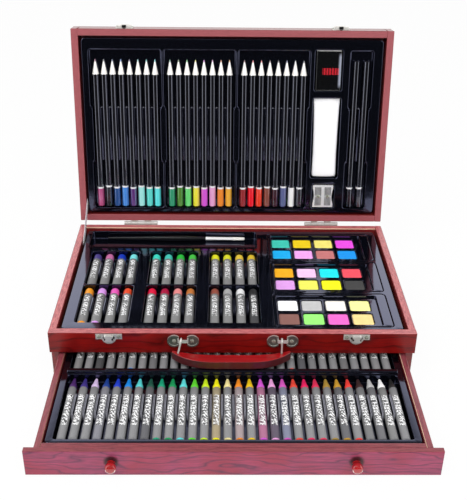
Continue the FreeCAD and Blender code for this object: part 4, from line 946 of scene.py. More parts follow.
def write_points(mesh, key, values):
    """Give every point of a mesh its number, place or colour."""
    values = np.array(values, dtype=np.float32)
    kind, field = {1: ("FLOAT", "value"), 3: ("FLOAT_VECTOR", "vector"),
                   4: ("FLOAT_COLOR", "color")}[values.size // len(mesh.vertices)]
    mesh.attributes.new(key, kind, "POINT").data.foreach_set(field, values.ravel())


def mark_sticks(mesh, template, count, colours, zones, traits):
    """Give each copy its own place in millimetres, its colour, its chance value and its other traits."""
    size = len(template.vertices)
    if len(mesh.vertices) != size * count or len(colours) != count:
        raise RuntimeError(mesh.name + " has another number of pieces than colours")
    local = np.empty(size * 3, dtype=np.float32)
    template.vertices.foreach_get("co", local)
    rng = random.Random(settings().stick.seed + count)
    traits = {"tint": [linear(c) for c in colours], "chance": [rng.random() for _ in colours], **traits}
    write_points(mesh, "place", np.tile(local / MM, count))
    for key, values in traits.items():
        write_points(mesh, key, np.repeat(np.array(values, dtype=np.float32), size, axis=0))
    if zones is not None:
        write_points(mesh, "zone", np.tile(zones, count))


def stick_rows(name, bm, material, first, space, colours=None, zones=None, angle=30, traits=None,
               **layout):
    """Rows of one stick. The stick is drawn along Y with its front up, and turned into the space.

    Step, Row_Step and Group_Step are vectors; a plain number is a step to the right."""
    template = mesh_from(bm.copy(), name + "_place")
    bm.transform(space.to_3x3().to_4x4())
    turned = mesh_from(bm, name + "_stick")
    smooth(turned, angle)
    values = {"Count": 1, "Step": 0, "Rows": 1, "Row_Step": 0, "Groups": 1, "Group_Step": 0, **layout}
    for key in ("Step", "Row_Step", "Group_Step"):
        if not isinstance(values[key], Vector):
            values[key] = Vector((values[key], 0, 0))
    obj = grown(name, even_rows, turned, material, First=space @ first, **values)
    if colours:
        total = values["Count"] * values["Rows"] * values["Groups"]
        mark_sticks(obj.data, template, total, colours, zones, traits or {})
    bpy.data.meshes.remove(template)
    return obj


# Operators

class ArtBoxOperator:
    bl_options = {"REGISTER", "UNDO"}


def rim_rule(face):
    """1 for a rim face, else 0."""
    return int(face.normal.z > RIM_UP)


def toward_middle(face, axis):
    """1 for a rim face, 2 for the rounded edge between the rim and the inside, else 0."""
    inward = -face.normal[axis] * math.copysign(1, face.center[axis])
    return 2 if 0.25 < face.normal.z <= RIM_UP and inward > 0.25 else rim_rule(face)


def board(node, materials, body, rule=None, edge=None, slot="case_wood", name=None):
    """A dressed board with its long edges rounded."""
    edge = settings().wood.edge if edge is None else edge
    dress(node, name or node + "_board", materials, body, slot, edge, SHORT_EDGE, rule)


def rib_row(name, boxes, body, rib, start, space=CASE_SPACE, scuff=None, **layout):
    """Ribs between the sticks of a row. Those of their faces whose normal passes the test get a painted
    highlight in pale grey.
    """
    a, b = boxes[0]
    first = Vector(((a.x + b.x + pitch(boxes)) / 2, start, a.z - 0.5 * MM))
    obj = stick_rows(name, rib, tray_sheet(), first, space, Step=pitch(boxes), **layout)
    if scuff:
        # Painted highlight: pale grey on the faces that face the light
        repaint(obj, material_once("scuffed_styrene", plain_finish, "#8C8C96", 0.45, 3.0),
                lambda face: scuff(face.normal))
    finish(obj, body, "tray_plastic")


class ART_OT_case_boards(ArtBoxOperator, bpy.types.Operator):
    """Make the case's stained boards."""
    bl_idname = "art_box.case_boards"
    bl_label = "Case Boards"

    def execute(self, context):
        wood = settings().wood
        # Painted sheen: the upward rim faces of these boards get the paler rim stain
        rims = (tuple(wood.rim_dark), tuple(wood.rim))
        front = stained_wood("stained_case_front", tuple(wood.front_dark), tuple(wood.front),
                             linear("#8C100A"), streak=1.8, length=45, figure=linear("#3A0404"),
                             figure_pitch=5.0, coat=0.12, roughness=0.34, ior=1.35)
        rim = stained_wood("stained_case_rim", *rims, streak=1.3, length=7)
        rim_y = stained_wood("stained_case_rim_side", *rims, way="Y", streak=1.3, length=7)
        side = stained_wood("stained_case_side", linear("#5C1216"), tuple(wood.outside), way="Y")
        bare = bare_wood("rubbed_case_edge", wood.bare)
        ply = bare_wood("plywood_bottom", "#B98A66")
        for node in ("case_side_left", "case_side_right"):
            board(node, [side, rim_y], "case", rim_rule)
        board("case_back", [side, rim, bare], "case", lambda face: toward_middle(face, 1))
        board("case_front_rail", [front, rim], "case", rim_rule, name="case_front_board")
        for node in ("case_bottom", "compartment_floor"):
            board(node, [ply], "case", edge=0.3 * MM, slot="plywood")
        return {"FINISHED"}


class ART_OT_case_tray(ArtBoxOperator, bpy.types.Operator):
    """Form the case's tray, with its pockets and ribs."""
    bl_idname = "art_box.case_tray"
    bl_label = "Case Tray"

    def execute(self, context):
        top = high("case_tray").z / MM
        bm = bmesh.new()
        rows = {name: solids("oil_pastels_" + name) for name in ("back", "front")}
        holes = [well(bm, boxes[i:i + 4], (1.2,) * 4, top) for boxes in rows.values() for i in (0, 4, 8)]
        holes += [pocket(bm, well_round([plate], (0.7,) * 4), 4.5, top, 9.3, rim=0.6)[0]
                  for plate in solids("paint_palettes")]
        trough = next(o["box_m"] for o in frame["record"]["physics"]["openings"]
                      if o["name"] == "brush_trough")
        (x0, y0, _), (x1, y1, _) = (Vector(corner) / MM for corner in trough)
        corners = rectangle(x0 - 2, x1 + 2, y0 - 2, max(high("brush_ferrule").y / MM + 3, y1 + 10.5))
        holes.append(pocket(bm, corners, POCKET_CORNER, top, 9.0)[0])
        formed_tray(bm, holes, "case_tray", "case_formed_tray", "case", top)
        for name, boxes in rows.items():
            a, b = boxes[0]
            rib = ridge(2.6, 26.0, top - 1.4 - a.z / MM + 0.5)
            rib_row("pastel_ribs_" + name, boxes, "case", rib, (a.y + b.y) / 2 - 13 * MM, Count=3,
                    Groups=3, Group_Step=pitch(boxes, 4))
        return {"FINISHED"}


class ART_OT_pastels(ArtBoxOperator, bpy.types.Operator):
    """Lay the two rows of oil pastels in their paper wrappers."""
    bl_idname = "art_box.pastels"
    bl_label = "Oil Pastels"

    def execute(self, context):
        for node, colours in (("oil_pastels_back", PASTEL_BACK_COLOURS),
                              ("oil_pastels_front", PASTEL_FRONT_COLOURS)):
            boxes = solids(node)
            length, radius, first = stick_size(boxes)
            wrap_end, wax = length - 13.5, radius - 0.2
            material = material_once("waxed_pastel", wrapped_finish, wrap_end, ((14, 38), (41, 53)), 2.7,
                                     4.2, 0.5)
            profile = [(0, 0), (0, wax * 0.8), (0.4, wax * 0.95), (1.0, wax), (1.05, radius),
                       (length * 0.4, radius), (wrap_end, radius), (wrap_end + 0.05, wax)]
            profile += [(length - back, wax * share) for back, share in
                        ((4.4, 1), (3.0, 0.93), (1.7, 0.79), (0.7, 0.57), (0.15, 0.3), (0, 0))]
            feet = [3.2 if colour in PASTEL_FRONT_COLOURS[:2] else -1.0 for colour in colours]
            papers = [tuple(settings().stick.pastel_wrapper)] * len(colours)
            if colours is PASTEL_FRONT_COLOURS:
                papers[-1] = linear("#4A4A4C")
            obj = stick_rows(node + "_sticks", lathe(profile, 20), material, first, CASE_SPACE, colours,
                             traits={"foot": feet, "paper": papers}, Count=4, Step=pitch(boxes),
                             Groups=3, Group_Step=pitch(boxes, 4))
            finish(obj, "case", "pastel_paper", node)
        return {"FINISHED"}


class ART_OT_palettes(ArtBoxOperator, bpy.types.Operator):
    """Form the three paint palettes with their recess, pockets and finger notch."""
    bl_idname = "art_box.palettes"
    bl_label = "Paint Palettes"

    def execute(self, context):
        bm = bmesh.new()
        cakes = solids("paint_cakes")
        for a, b in solids("paint_palettes"):
            x0, x1, y0, y1 = (v / MM for v in (a.x, b.x, a.y, b.y))
            top, bottom = b.z / MM, a.z / MM
            notch = (x0 + 36.0, x0 + 38.6, x0 + 55.5, x0 + 58.1)
            before = len(bm.verts)
            inner = [(x0 + 3.2, y0 + 3.2)] + [(x, y0 + 3.2) for x in notch] + [
                (x1 - 10.2, y0 + 3.2), (x1 - 10.2, y1 - 3.2), (x0 + 3.2, y1 - 3.2)]
            outer = [(x0, y0)] + [(x, y0) for x in notch] + [(x1, y0), (x1, y1), (x0, y1)]
            hole, floor = pocket(bm, inner, 2.0, top, 2.5, close=False, rim=0.7, foot=0.5, draft=0.2)
            fill(bm, floor, [pocket(bm, well_round([cake], (0.5,) * 4), 2.6, top - 2.5, 4.6, rim=0.5,
                                    foot=0.5, draft=0.1)[0]
                             for cake in cakes if a.y < cake[0].y < b.y])
            stations = [(-0.7 * (1 - math.sin(t)), top - 0.7 * (1 - math.cos(t))) for t in quarter()]
            stations += [(0, top - 3.0), (0, bottom)]
            fill(bm, stack(bm, outer, 4.0, stations, last=True)[0], [hole])
            bm.verts.ensure_lookup_table()
            for vert in bm.verts[before:]:
                x, y, z = vert.co / MM
                if y < y0 + 4.4 and notch[0] < x < notch[3]:
                    if z > top - 0.75:
                        vert.co.z -= 1.8 * MM
                    elif z > top - 3.1 and y > y0 + 2:
                        vert.co.z = min(vert.co.z, (top - 2.5) * MM)
        obj = closed_piece(bm, "palette_plates", [tray_sheet()])
        finish(obj, "case", "tray_plastic", "paint_palettes")
        return {"FINISHED"}


class ART_OT_cakes(ArtBoxOperator, bpy.types.Operator):
    """Set the pressed paint cakes in the palettes' pockets."""
    bl_idname = "art_box.cakes"
    bl_label = "Paint Cakes"

    def execute(self, context):
        boxes = solids("paint_cakes")
        xs = sorted({round(a.x / MM, 2) for a, b in boxes})
        ys = sorted({round(a.y / MM, 2) for a, b in boxes})
        a, b = boxes[0]
        half_x, half_y, height = (b.x - a.x) / MM / 2, (b.y - a.y) / MM / 2, (b.z - a.z) / MM
        bm = bmesh.new()
        stations = [(-0.3, 0), (0, 0.3), (0, height - 0.9), (-0.25, height - 0.35), (-1.1, height - 0.12),
                    (-2.6, height - 0.3), (-5.0, height - 0.5)]
        stack(bm, rectangle(-half_x, half_x, -half_y, half_y), 2.2, stations, 3, first=True, last=True)
        bmesh.ops.recalc_face_normals(bm, faces=bm.faces)
        rows = [c for i in range(0, 24, 8) for c in CAKE_COLOURS[i + 4:i + 8] + CAKE_COLOURS[i:i + 4]]
        first = Vector((xs[0] * MM + half_x * MM, ys[0] * MM + half_y * MM, a.z))
        chalky = cake_finish("pressed_watercolour")
        obj = stick_rows("watercolour_cakes", bm, chalky, first, CASE_SPACE, rows, angle=50, Count=4,
                         Step=(xs[1] - xs[0]) * MM, Rows=2,
                         Row_Step=Vector((0, (ys[1] - ys[0]) * MM, 0)), Groups=3,
                         Group_Step=Vector((0, (ys[2] - ys[0]) * MM, 0)))
        finish(obj, "case", "paint", "paint_cakes")
        return {"FINISHED"}


class ART_OT_brush(ArtBoxOperator, bpy.types.Operator):
    """Make the flat brush: lacquered handle, crimped ferrule and separate bristles."""
    bl_idname = "art_box.brush"
    bl_label = "Paint Brush"

    def execute(self, context):
        stick = settings().stick
        along = Matrix.Rotation(-math.pi / 2, 4, "Z")
        a, b = low("brush_handle"), high("brush_handle")
        length, belly = (b.x - a.x) / MM, (b.z - a.z) / MM / 2
        centre = (a + b) / 2
        profile = [(0, 0), (0.1, belly * 0.2), (0.8, belly * 0.42)]
        profile += [(length * at, belly * share) for at, share in
                    ((0.1, 0.5), (0.3, 0.66), (0.5, 0.84), (0.65, 0.97), (0.74, 1.0), (0.83, 0.97),
                     (0.92, 0.82), (1.0, 0.64), (1, 0))]
        black = gloss_lacquer("black_brush_lacquer", linear("#0C0C0E"))
        obj = closed_piece(lathe(profile, 20), "brush_stem", [black],
                           Matrix.Translation((a.x, centre.y, centre.z)) @ along)
        finish(obj, "case", "black_lacquer", "brush_handle")
        ferrule = plated_steel("crimped_tin_ferrule", linear("#FFFFFF"), 0.4, 0.1, 0.75)
        dress("brush_ferrule", "brush_ferrule_tin", [ferrule], "case", "bright_metal")
        a, b = low("brush_hair"), high("brush_hair")
        half_width, half_thick, length = (b.y - a.y) / 2, (b.z - a.z) / 2, (b.x - a.x) / MM
        strand = lathe([(0, 0), (0, 0.16), (length * 0.8, 0.13), (length - 0.6, 0)], 5)
        strand.transform(along)
        nylon = plain_finish("white_nylon_bristle", "#F4F2EC", 0.45, 2.0)
        centre = (a + b) / 2
        obj = grown("brush_bristles", brush_strands, mesh_from(strand, "strand"), nylon,
                    Count=stick.bristles, Start=Vector((a.x, centre.y, centre.z)),
                    Half_Width=half_width - 0.5 * MM, Half_Thickness=half_thick - 0.3 * MM, Splay=0.05,
                    Seed=stick.seed)
        finish(obj, "case", "white_bristle", "brush_hair")
        return {"FINISHED"}


def lid_rule(face):
    """1 for the lid's rim, else 0."""
    return int((LID_SPACE.to_3x3().inverted() @ face.normal).z > 0.9)


class ART_OT_lid_boards(ArtBoxOperator, bpy.types.Operator):
    """Make the lid's stained boards and panel."""
    bl_idname = "art_box.lid_boards"
    bl_label = "Lid Boards"

    def execute(self, context):
        wood = settings().wood
        for way, nodes in (("X", ("lid_front_rail", "lid_back_rail", "lid_panel")),
                           ("Y", ("lid_side_left", "lid_side_right"))):
            side = stained_wood("stained_lid_" + way.lower(), linear("#5C1216"), tuple(wood.outside),
                                way=way, lid=True)
            # Painted sheen: the rim faces get a paler stain than the outside
            rim = stained_wood("stained_lid_rim_" + way.lower(), linear("#A04E54"), tuple(wood.lid_rim),
                               way=way, lid=True, streak=1.4, length=26, coat=0.15, roughness=0.5)
            for node in nodes:
                board(node, [side, rim], "lid", lid_rule)
        return {"FINISHED"}


class ART_OT_lid_tray(ArtBoxOperator, bpy.types.Operator):
    """Form the lid's tray, with its stepped pockets and ribs."""
    bl_idname = "art_box.lid_tray"
    bl_label = "Lid Tray"

    def execute(self, context):
        top = reach(solids("lid_tray", LID_SPACE))[1].z / MM
        bm = bmesh.new()
        rows = {name: solids("colour_pencils_" + name, LID_SPACE) for name in ("left", "middle", "right")}
        rows["drawing"] = solids("drawing_pencils", LID_SPACE)
        holes = [well(bm, boxes, None, top, self.stepped(*reach(boxes))) for boxes in rows.values()]
        holes += [well(bm, solids(node, LID_SPACE), (1.4, 1.4, 1.6, 1.6), top)
                  for node in ("eraser_sleeve", "paint_tube", "sharpener_body")]
        formed_tray(bm, holes, "lid_tray", "lid_formed_tray", "lid", top, LID_SPACE)
        up_the_lid = LID_SPACE.to_3x3() @ Vector((0, 1, 0))
        for name, boxes in rows.items():
            rib = ridge(2.2, 64.0, top - boxes[0][0].z / MM - 2.0, crown=0.3)
            # Painted highlight on the rib ends that face up the lid
            rib_row("pencil_ribs_" + name, boxes, "lid", rib, 75 * MM, LID_SPACE,
                    lambda normal: normal.dot(up_the_lid) > 0.5, Count=len(boxes) - 1)
        return {"FINISHED"}

    def stepped(self, a, b, slim=1.1, wide=3.4):
        """A pocket's outline that is wider at both ends than along its middle."""
        a, b = a / MM, b / MM
        y0, y1, y2, y3 = a.y - 1.6, a.y + 56.4, a.y + 122, b.y + 12
        x0, x1 = a.x - wide, b.x + wide
        m0, m1 = a.x - slim, b.x + slim
        return [(x0, y0), (x1, y0), (x1, y1), (m1, y1), (m1, y2), (x1, y2), (x1, y3), (x0, y3), (x0, y2),
                (m0, y2), (m0, y1), (x0, y1)]


def hexagon(angle):
    """Radius of a hexagon with softened corners, as a share of its flat's half width."""
    part = (angle % (math.pi / 3)) - math.pi / 6
    return min(1 / math.cos(part), 1.125)


class ART_OT_pencils(ArtBoxOperator, bpy.types.Operator):
    """Lay the sharpened colour pencils and the two drawing pencils."""
    bl_idname = "art_box.pencils"
    bl_label = "Pencils"

    def execute(self, context):
        names = ("colour_pencils_left", "colour_pencils_middle", "colour_pencils_right")
        for node, colours in zip(names, PENCIL_COLOURS):
            self.row(node, colours, 17.0)
        self.row("drawing_pencils", DRAWING_COLOURS, 0.0)
        return {"FINISHED"}

    def row(self, node, colours, cone):
        boxes = solids(node, LID_SPACE)
        length, flat, first = stick_size(boxes)
        bm, zones = self.stick(length, flat, cone)
        material = material_once("lacquered_pencil", pencil_finish)
        obj = stick_rows(node + "_sticks", bm, material, first, LID_SPACE, colours, zones, angle=24,
                         Count=len(boxes), Step=pitch(boxes))
        finish(obj, "lid", "black_lacquer", node)

    def stick(self, length, flat, cone):
        """A hexagonal stick along Y, with its sharpened cone and its lead."""
        angles = [math.radians(60 * k + d) for k in range(6) for d in (-6, 6, 18, 30, 42)]
        bm = bmesh.new()
        zones = []

        def loop(place, zone):
            made = []
            for angle in angles:
                along, radius = place(angle)
                made.append(bm.verts.new((radius * math.cos(angle) * MM, along * MM,
                                          radius * math.sin(angle) * MM)))
                zones.append(zone)
            return made

        rings = [loop(lambda t: (0, flat * hexagon(t) * 0.86), 0),
                 loop(lambda t: (0.5, flat * hexagon(t)), 0)]
        if cone:
            tip, lead, base = 0.35, 0.8, length - cone
            at = length - cone * (lead - tip) / (flat - tip)
            rings.append(loop(lambda t: (base - 3 * (hexagon(t) - 1), flat * hexagon(t)), 0))
            rings.append(loop(lambda t: (base - 3 * (hexagon(t) - 1) + 0.02, flat * hexagon(t)), 1))
            rings.append(loop(lambda t: (at, lead), 1))
            rings.append(loop(lambda t: (at + 0.02, lead * 0.99), 2))
            rings.append(loop(lambda t: (length - 0.3, tip), 2))
            last_zone = 2
        else:
            rings.append(loop(lambda t: (length - 0.5, flat * hexagon(t)), 0))
            rings.append(loop(lambda t: (length, flat * hexagon(t) * 0.86), 0))
            last_zone = 0
        loft(bm, rings)
        for end, y, zone in ((rings[0], 0, 0), (rings[-1], length, last_zone)):
            pole = bm.verts.new((0, y * MM, 0))
            zones.append(zone)
            for one, other in zip(end, end[1:] + end[:1]):
                bm.faces.new((one, other, pole))
        bmesh.ops.recalc_face_normals(bm, faces=bm.faces)
        return bm, zones


class ART_OT_small_things(ArtBoxOperator, bpy.types.Operator):
    """Make the eraser, the paint tube and the sharpener in the lid."""
    bl_idname = "art_box.small_things"
    bl_label = "Eraser, Tube and Sharpener"

    def execute(self, context):
        rubber = plain_finish("white_vinyl_eraser", "#ECECEA", 0.6, 0.8)
        dress("eraser", "eraser_block", [rubber], "lid", "rubber_white", 0.4 * MM)
        card = sleeve_finish("printed_card_sleeve")
        sleeve = dress("eraser_sleeve", "eraser_card_sleeve", [card], "lid", "card_sleeve", 0.5 * MM,
                       3 * MM)
        self.centre_place(sleeve, "eraser_sleeve")
        self.tube()
        cast = plated_steel("cast_magnesium", linear("#F4F4F6"), 0.35, 0.1, 0.6)
        dress("sharpener_body", "sharpener_casting", [cast], "lid", "bright_metal", 0.2 * MM)
        steel = blade_finish("ground_blade_steel")
        blades = dress("sharpener_blades", "sharpener_blade_pair", [steel], "lid", "bright_metal",
                       0.08 * MM)
        self.centre_place(blades, "sharpener_blades")
        self.grips()
        return {"FINISHED"}

    def centre_place(self, obj, node):
        """Give the piece its own place in millimetres from the middle of its node."""
        a, b = reach(solids(node, LID_SPACE))
        inverse = LID_SPACE.inverted()
        write_points(obj.data, "place", [(inverse @ v.co - (a + b) / 2) / MM for v in obj.data.vertices])

    def tube(self):
        """A soft filled tube: wide and flat at its fold, full and rounded at its shoulder."""
        a, b = (corner / MM for corner in reach(solids("paint_tube", LID_SPACE)))
        half, thick, length = (b.x - a.x) / 2, (b.z - a.z) / 2, b.y - a.y
        shape = ((0.0, 0.86, 0.55), (0.012, 0.93, 0.8), (0.04, 0.96, 0.95), (0.1, 0.95, 1.0),
                 (0.3, 0.93, 0.97), (0.5, 0.94, 0.85), (0.68, 0.955, 0.68), (0.8, 0.97, 0.5),
                 (0.9, 0.985, 0.32), (0.945, 1.0, 0.2), (0.95, 1.0, 0.14), (0.965, 1.0, 0.17),
                 (0.98, 1.0, 0.14), (1.0, 1.0, 0.13))
        bm = bmesh.new()
        rings = []
        for share, wide, fat in shape:
            loop = []
            for i in range(32):
                angle = 2 * math.pi * i / 32
                x = math.copysign(abs(math.cos(angle)) ** 0.8, math.cos(angle)) * half * wide
                z = math.copysign(abs(math.sin(angle)) ** 0.8, math.sin(angle)) * thick * fat
                loop.append(bm.verts.new((x * MM, share * length * MM, z * MM)))
            rings.append(loop)
        loft(bm, rings, first=True, last=True)
        place = Matrix.Translation(Vector(((a.x + b.x) / 2, a.y, (a.z + b.z) / 2)) * MM)
        enamel = plain_finish("white_enamelled_tube", "#FAFAFC", 0.3, 14.0, 0.25, coat=0.5, vary=0.02)
        obj = closed_piece(bm, "paint_tube_shell", [enamel], LID_SPACE @ place, 60)
        finish(obj, "lid", "tube_white", "paint_tube")

    def grips(self):
        """Finger ridges down both wings of the sharpener, painted dark to stand in for the shade in its grip
        grooves.
        """
        a, b = reach(solids("sharpener_body", LID_SPACE))
        groove = plain_finish("blackened_groove", "#26262A", 0.5, 1.0)
        rib = ridge(0.5, (b.y - a.y) / MM * 0.82, 0.25, crown=0.1)
        first = Vector((a.x + 4.2 * MM, a.y + (b.y - a.y) * 0.09, b.z - 0.2 * MM))
        obj = stick_rows("sharpener_grooves", rib, groove, first, LID_SPACE, Count=2, Step=1.3 * MM,
                         Groups=2, Group_Step=12.4 * MM)
        finish(obj, "lid", "bright_metal")


class ART_OT_drawer_boards(ArtBoxOperator, bpy.types.Operator):
    """Make the drawer's face and boards."""
    bl_idname = "art_box.drawer_boards"
    bl_label = "Drawer Boards"

    def execute(self, context):
        wood = settings().wood
        # The drawer face gets a painted shadow just above each knob
        face = stained_wood("stained_drawer_face", linear("#703050"), tuple(wood.face),
                            tuple(wood.face_warm), streak=1.6, length=34, figure=tuple(wood.face_dark),
                            figure_pitch=3.8, wild=14.0, coat=0.25, knob_shadows=middles("drawer_knobs"))
        top = stained_wood("stained_drawer_rim", linear("#6E2834"), linear("#98444C"), streak=1.5,
                           length=16)
        top_y = stained_wood("stained_drawer_rim_side", linear("#6C2A34"), linear("#984A52"), way="Y",
                             streak=1.5, length=16)
        side = stained_wood("stained_drawer_side", linear("#6A1C22"), linear("#96303A"), way="Y")
        board("drawer_face", [face, top], "drawer", rim_rule, slot="face_wood")
        for node, bare in (("drawer_side_left", bare_wood("dull_drawer_edge", "#8E6450", "Y")),
                           ("drawer_side_right", bare_wood("rubbed_drawer_edge", wood.bare, "Y"))):
            board(node, [side, top_y, bare], "drawer", lambda f: toward_middle(f, 0), 0.5 * MM)
        for node in ("drawer_front_board", "drawer_back"):
            board(node, [side, top], "drawer", rim_rule, 0.4 * MM, name=node + "_wood")
        board("drawer_bottom", [bare_wood("plywood_drawer_bottom", "#B98A66")], "drawer", edge=0.3 * MM,
              slot="plywood")
        return {"FINISHED"}


class ART_OT_drawer_tray(ArtBoxOperator, bpy.types.Operator):
    """Form the drawer's tray, with its two long pockets, its bridge and its ribs."""
    bl_idname = "art_box.drawer_tray"
    bl_label = "Drawer Tray"

    def execute(self, context):
        lowest, highest = low("drawer_tray") / MM, high("drawer_tray") / MM
        top = highest.z - 2.8
        bm = bmesh.new()
        rows = {name: solids("crayons_" + name) for name in ("front", "back")}
        holes = [well(bm, boxes, (2.4, 2.4, 2.4, 1.3), top) for boxes in rows.values()]
        bridge = rectangle(lowest.x + 5, highest.x - 5, reach(rows["front"])[1].y / MM + 2.6,
                           reach(rows["back"])[0].y / MM - 3.7)
        stations = [(0.6, top - 0.5), (0, top + 0.4)]
        stations += [(-1.6 * (1 - math.cos(t)), top + 1.2 + 1.6 * math.sin(t)) for t in quarter()]
        stack(bm, bridge, 1.6, stations, first=True, last=True)
        formed_tray(bm, holes, "drawer_tray", "drawer_formed_tray", "drawer", top)
        for name, boxes in rows.items():
            a = boxes[0][0]
            rib = ridge(1.76, 28.0, top - a.z / MM + 0.1, crown=0.62)
            # Painted highlight on the ribs' sloping sides
            rib_row("crayon_ribs_" + name, boxes, "drawer", rib, a.y + 33.5 * MM,
                    scuff=lambda normal: 0.3 < abs(normal.x) < 0.95, Count=len(boxes) - 1)
        return {"FINISHED"}


class ART_OT_crayons(ArtBoxOperator, bpy.types.Operator):
    """Lay the two rows of wax crayons in their printed wrappers."""
    bl_idname = "art_box.crayons"
    bl_label = "Crayons"

    def execute(self, context):
        places = range(len(CRAYON_COLOURS))
        front_feet = [0.7 if 8 <= i < 26 else -1.0 for i in places]
        back_feet = [1.2 if i in (5, 20) else -1.0 for i in places]
        for node, papers, feet in (("crayons_front", FRONT_PAPERS, front_feet),
                                   ("crayons_back", BACK_PAPERS, back_feet)):
            boxes = solids(node)
            sleeves = [linear(papers[i]) if i in papers else tuple(settings().stick.wrapper)
                       for i in places]
            length, radius, first = stick_size(boxes)
            wrap_end, wax = length - 16.0, radius - 0.25
            material = material_once("waxed_crayon", wrapped_finish, wrap_end, ((18, 61),), 2.8, 4.4, 0.6)
            profile = [(0, 0), (0, wax * 0.82), (0.35, wax * 0.97), (0.6, wax), (0.62, radius),
                       (length * 0.4, radius), (wrap_end, radius), (wrap_end + 0.05, wax),
                       (length - 11.6, wax), (length - 10.9, wax * 0.93), (length - 9.6, wax * 0.8),
                       (length - 1.2, 1.45), (length - 0.35, 1.15), (length, 0.7), (length, 0)]
            obj = stick_rows(node + "_sticks", lathe(profile, 20), material, first, CASE_SPACE,
                             CRAYON_COLOURS, traits={"foot": feet, "paper": sleeves}, Count=len(boxes),
                             Step=pitch(boxes))
            finish(obj, "drawer", "crayon_paper", node)
        return {"FINISHED"}


class ART_OT_pulls(ArtBoxOperator, bpy.types.Operator):
    """Turn the two knobs and lacquer the handle."""
    bl_idname = "art_box.pulls"
    bl_label = "Knobs and Handle"

    def execute(self, context):
        lacquer = settings().lacquer
        red = gloss_lacquer("red_gloss_lacquer", lacquer.red, 0.7, 0.12)
        boxes = solids("drawer_knobs")
        a, b = boxes[0]
        length, radius, first = stick_size(boxes)
        first.y = b.y
        shares = ((0, 0), (0, 0.76), (0.05, 0.74), (0.14, 0.74), (0.24, 0.83), (0.36, 0.93), (0.5, 0.99),
                  (0.6, 1.0), (0.72, 0.97), (0.82, 0.88), (0.9, 0.74), (0.96, 0.52), (0.99, 0.28), (1, 0))
        knob = lathe([(length * at, radius * share) for at, share in shares], 32)
        knob.transform(Matrix.Rotation(math.pi, 4, "Z"))
        obj = stick_rows("red_knobs", knob, red, first, CASE_SPACE, angle=50, Count=2, Step=pitch(boxes))
        # A painted highlight: the knobs' lower front rim is painted as a pale ring
        repaint(obj, plain_finish("worn_pale_rim", "#F4D4D0", 0.3, 1.0, coat=0.5),
                lambda face: (0.84 < (b.y - face.center.y) / (b.y - a.y) < 0.89
                              and face.center.z < first.z))
        finish(obj, "drawer", "red_lacquer", "drawer_knobs")
        # Painted shade: faces that face up keep the red lacquer, all others get the darker copy
        shade = gloss_lacquer("dark_red_lacquer", lacquer.shade, 0.7, 0.42, coat=0.3)
        dress("handle_grip", "handle_bow", [red, shade], "handle", "red_lacquer",
              rule=lambda face: 0 if face.normal.z > 0.7 else 1)
        return {"FINISHED"}


class ART_OT_hardware(ArtBoxOperator, bpy.types.Operator):
    """Finish the stamped hardware: hinges, catches, hasps, brackets and wire eyes."""
    bl_idname = "art_box.hardware"
    bl_label = "Hardware"

    def execute(self, context):
        metal = settings().metal
        pieces = {"hinge_leaves_case": "case", "hinge_pins": "case", "catch_plates": "case",
                  "handle_brackets": "case", "hinge_leaves_lid": "lid", "hasp_plates": "lid",
                  "hasp_pins": "lid", "hasp_tongue_left": "hasp_left",
                  "hasp_tongue_right": "hasp_right", "handle_eyes": "handle"}
        # Painted shadow round the hasp pins, and on the catches either side of the boss
        pin_shadowed = plated_steel("oiled_nickel_hasp", metal.plate, haze=0.5, hollows=middles("hasp_pins"),
                             hollow=2.9)
        catch_shadows = [middle + Vector((side * 4.5 * MM, 0, 1.6 * MM)) for middle in middles("catch_plates")
                 for side in (-1, 1)]
        boss_shaded = plated_steel("dented_nickel_catch", metal.plate, hollows=catch_shadows, weights=(1, 0, 1))
        recess = plated_steel("shaded_nickel", linear("#8A9088"), 0.4, 0.3, 0.1)
        bracket_front = low("handle_brackets").y + 0.3 * MM
        for node, body in pieces.items():
            edge = 0 if node in ("handle_eyes", "hinge_pins", "hasp_pins") else metal.edge
            plate = pin_shadowed if node.startswith("hasp") else boss_shaded if node == "catch_plates" else nickel()
            rule = None
            if node == "handle_brackets":
                rule = lambda face: int(face.normal.y < -0.95 and face.center.y > bracket_front)
            dress(node, node + "_nickel", [plate, recess] if rule else [plate], body, "bright_metal",
                  edge, 1.2 * MM, rule)
        return {"FINISHED"}


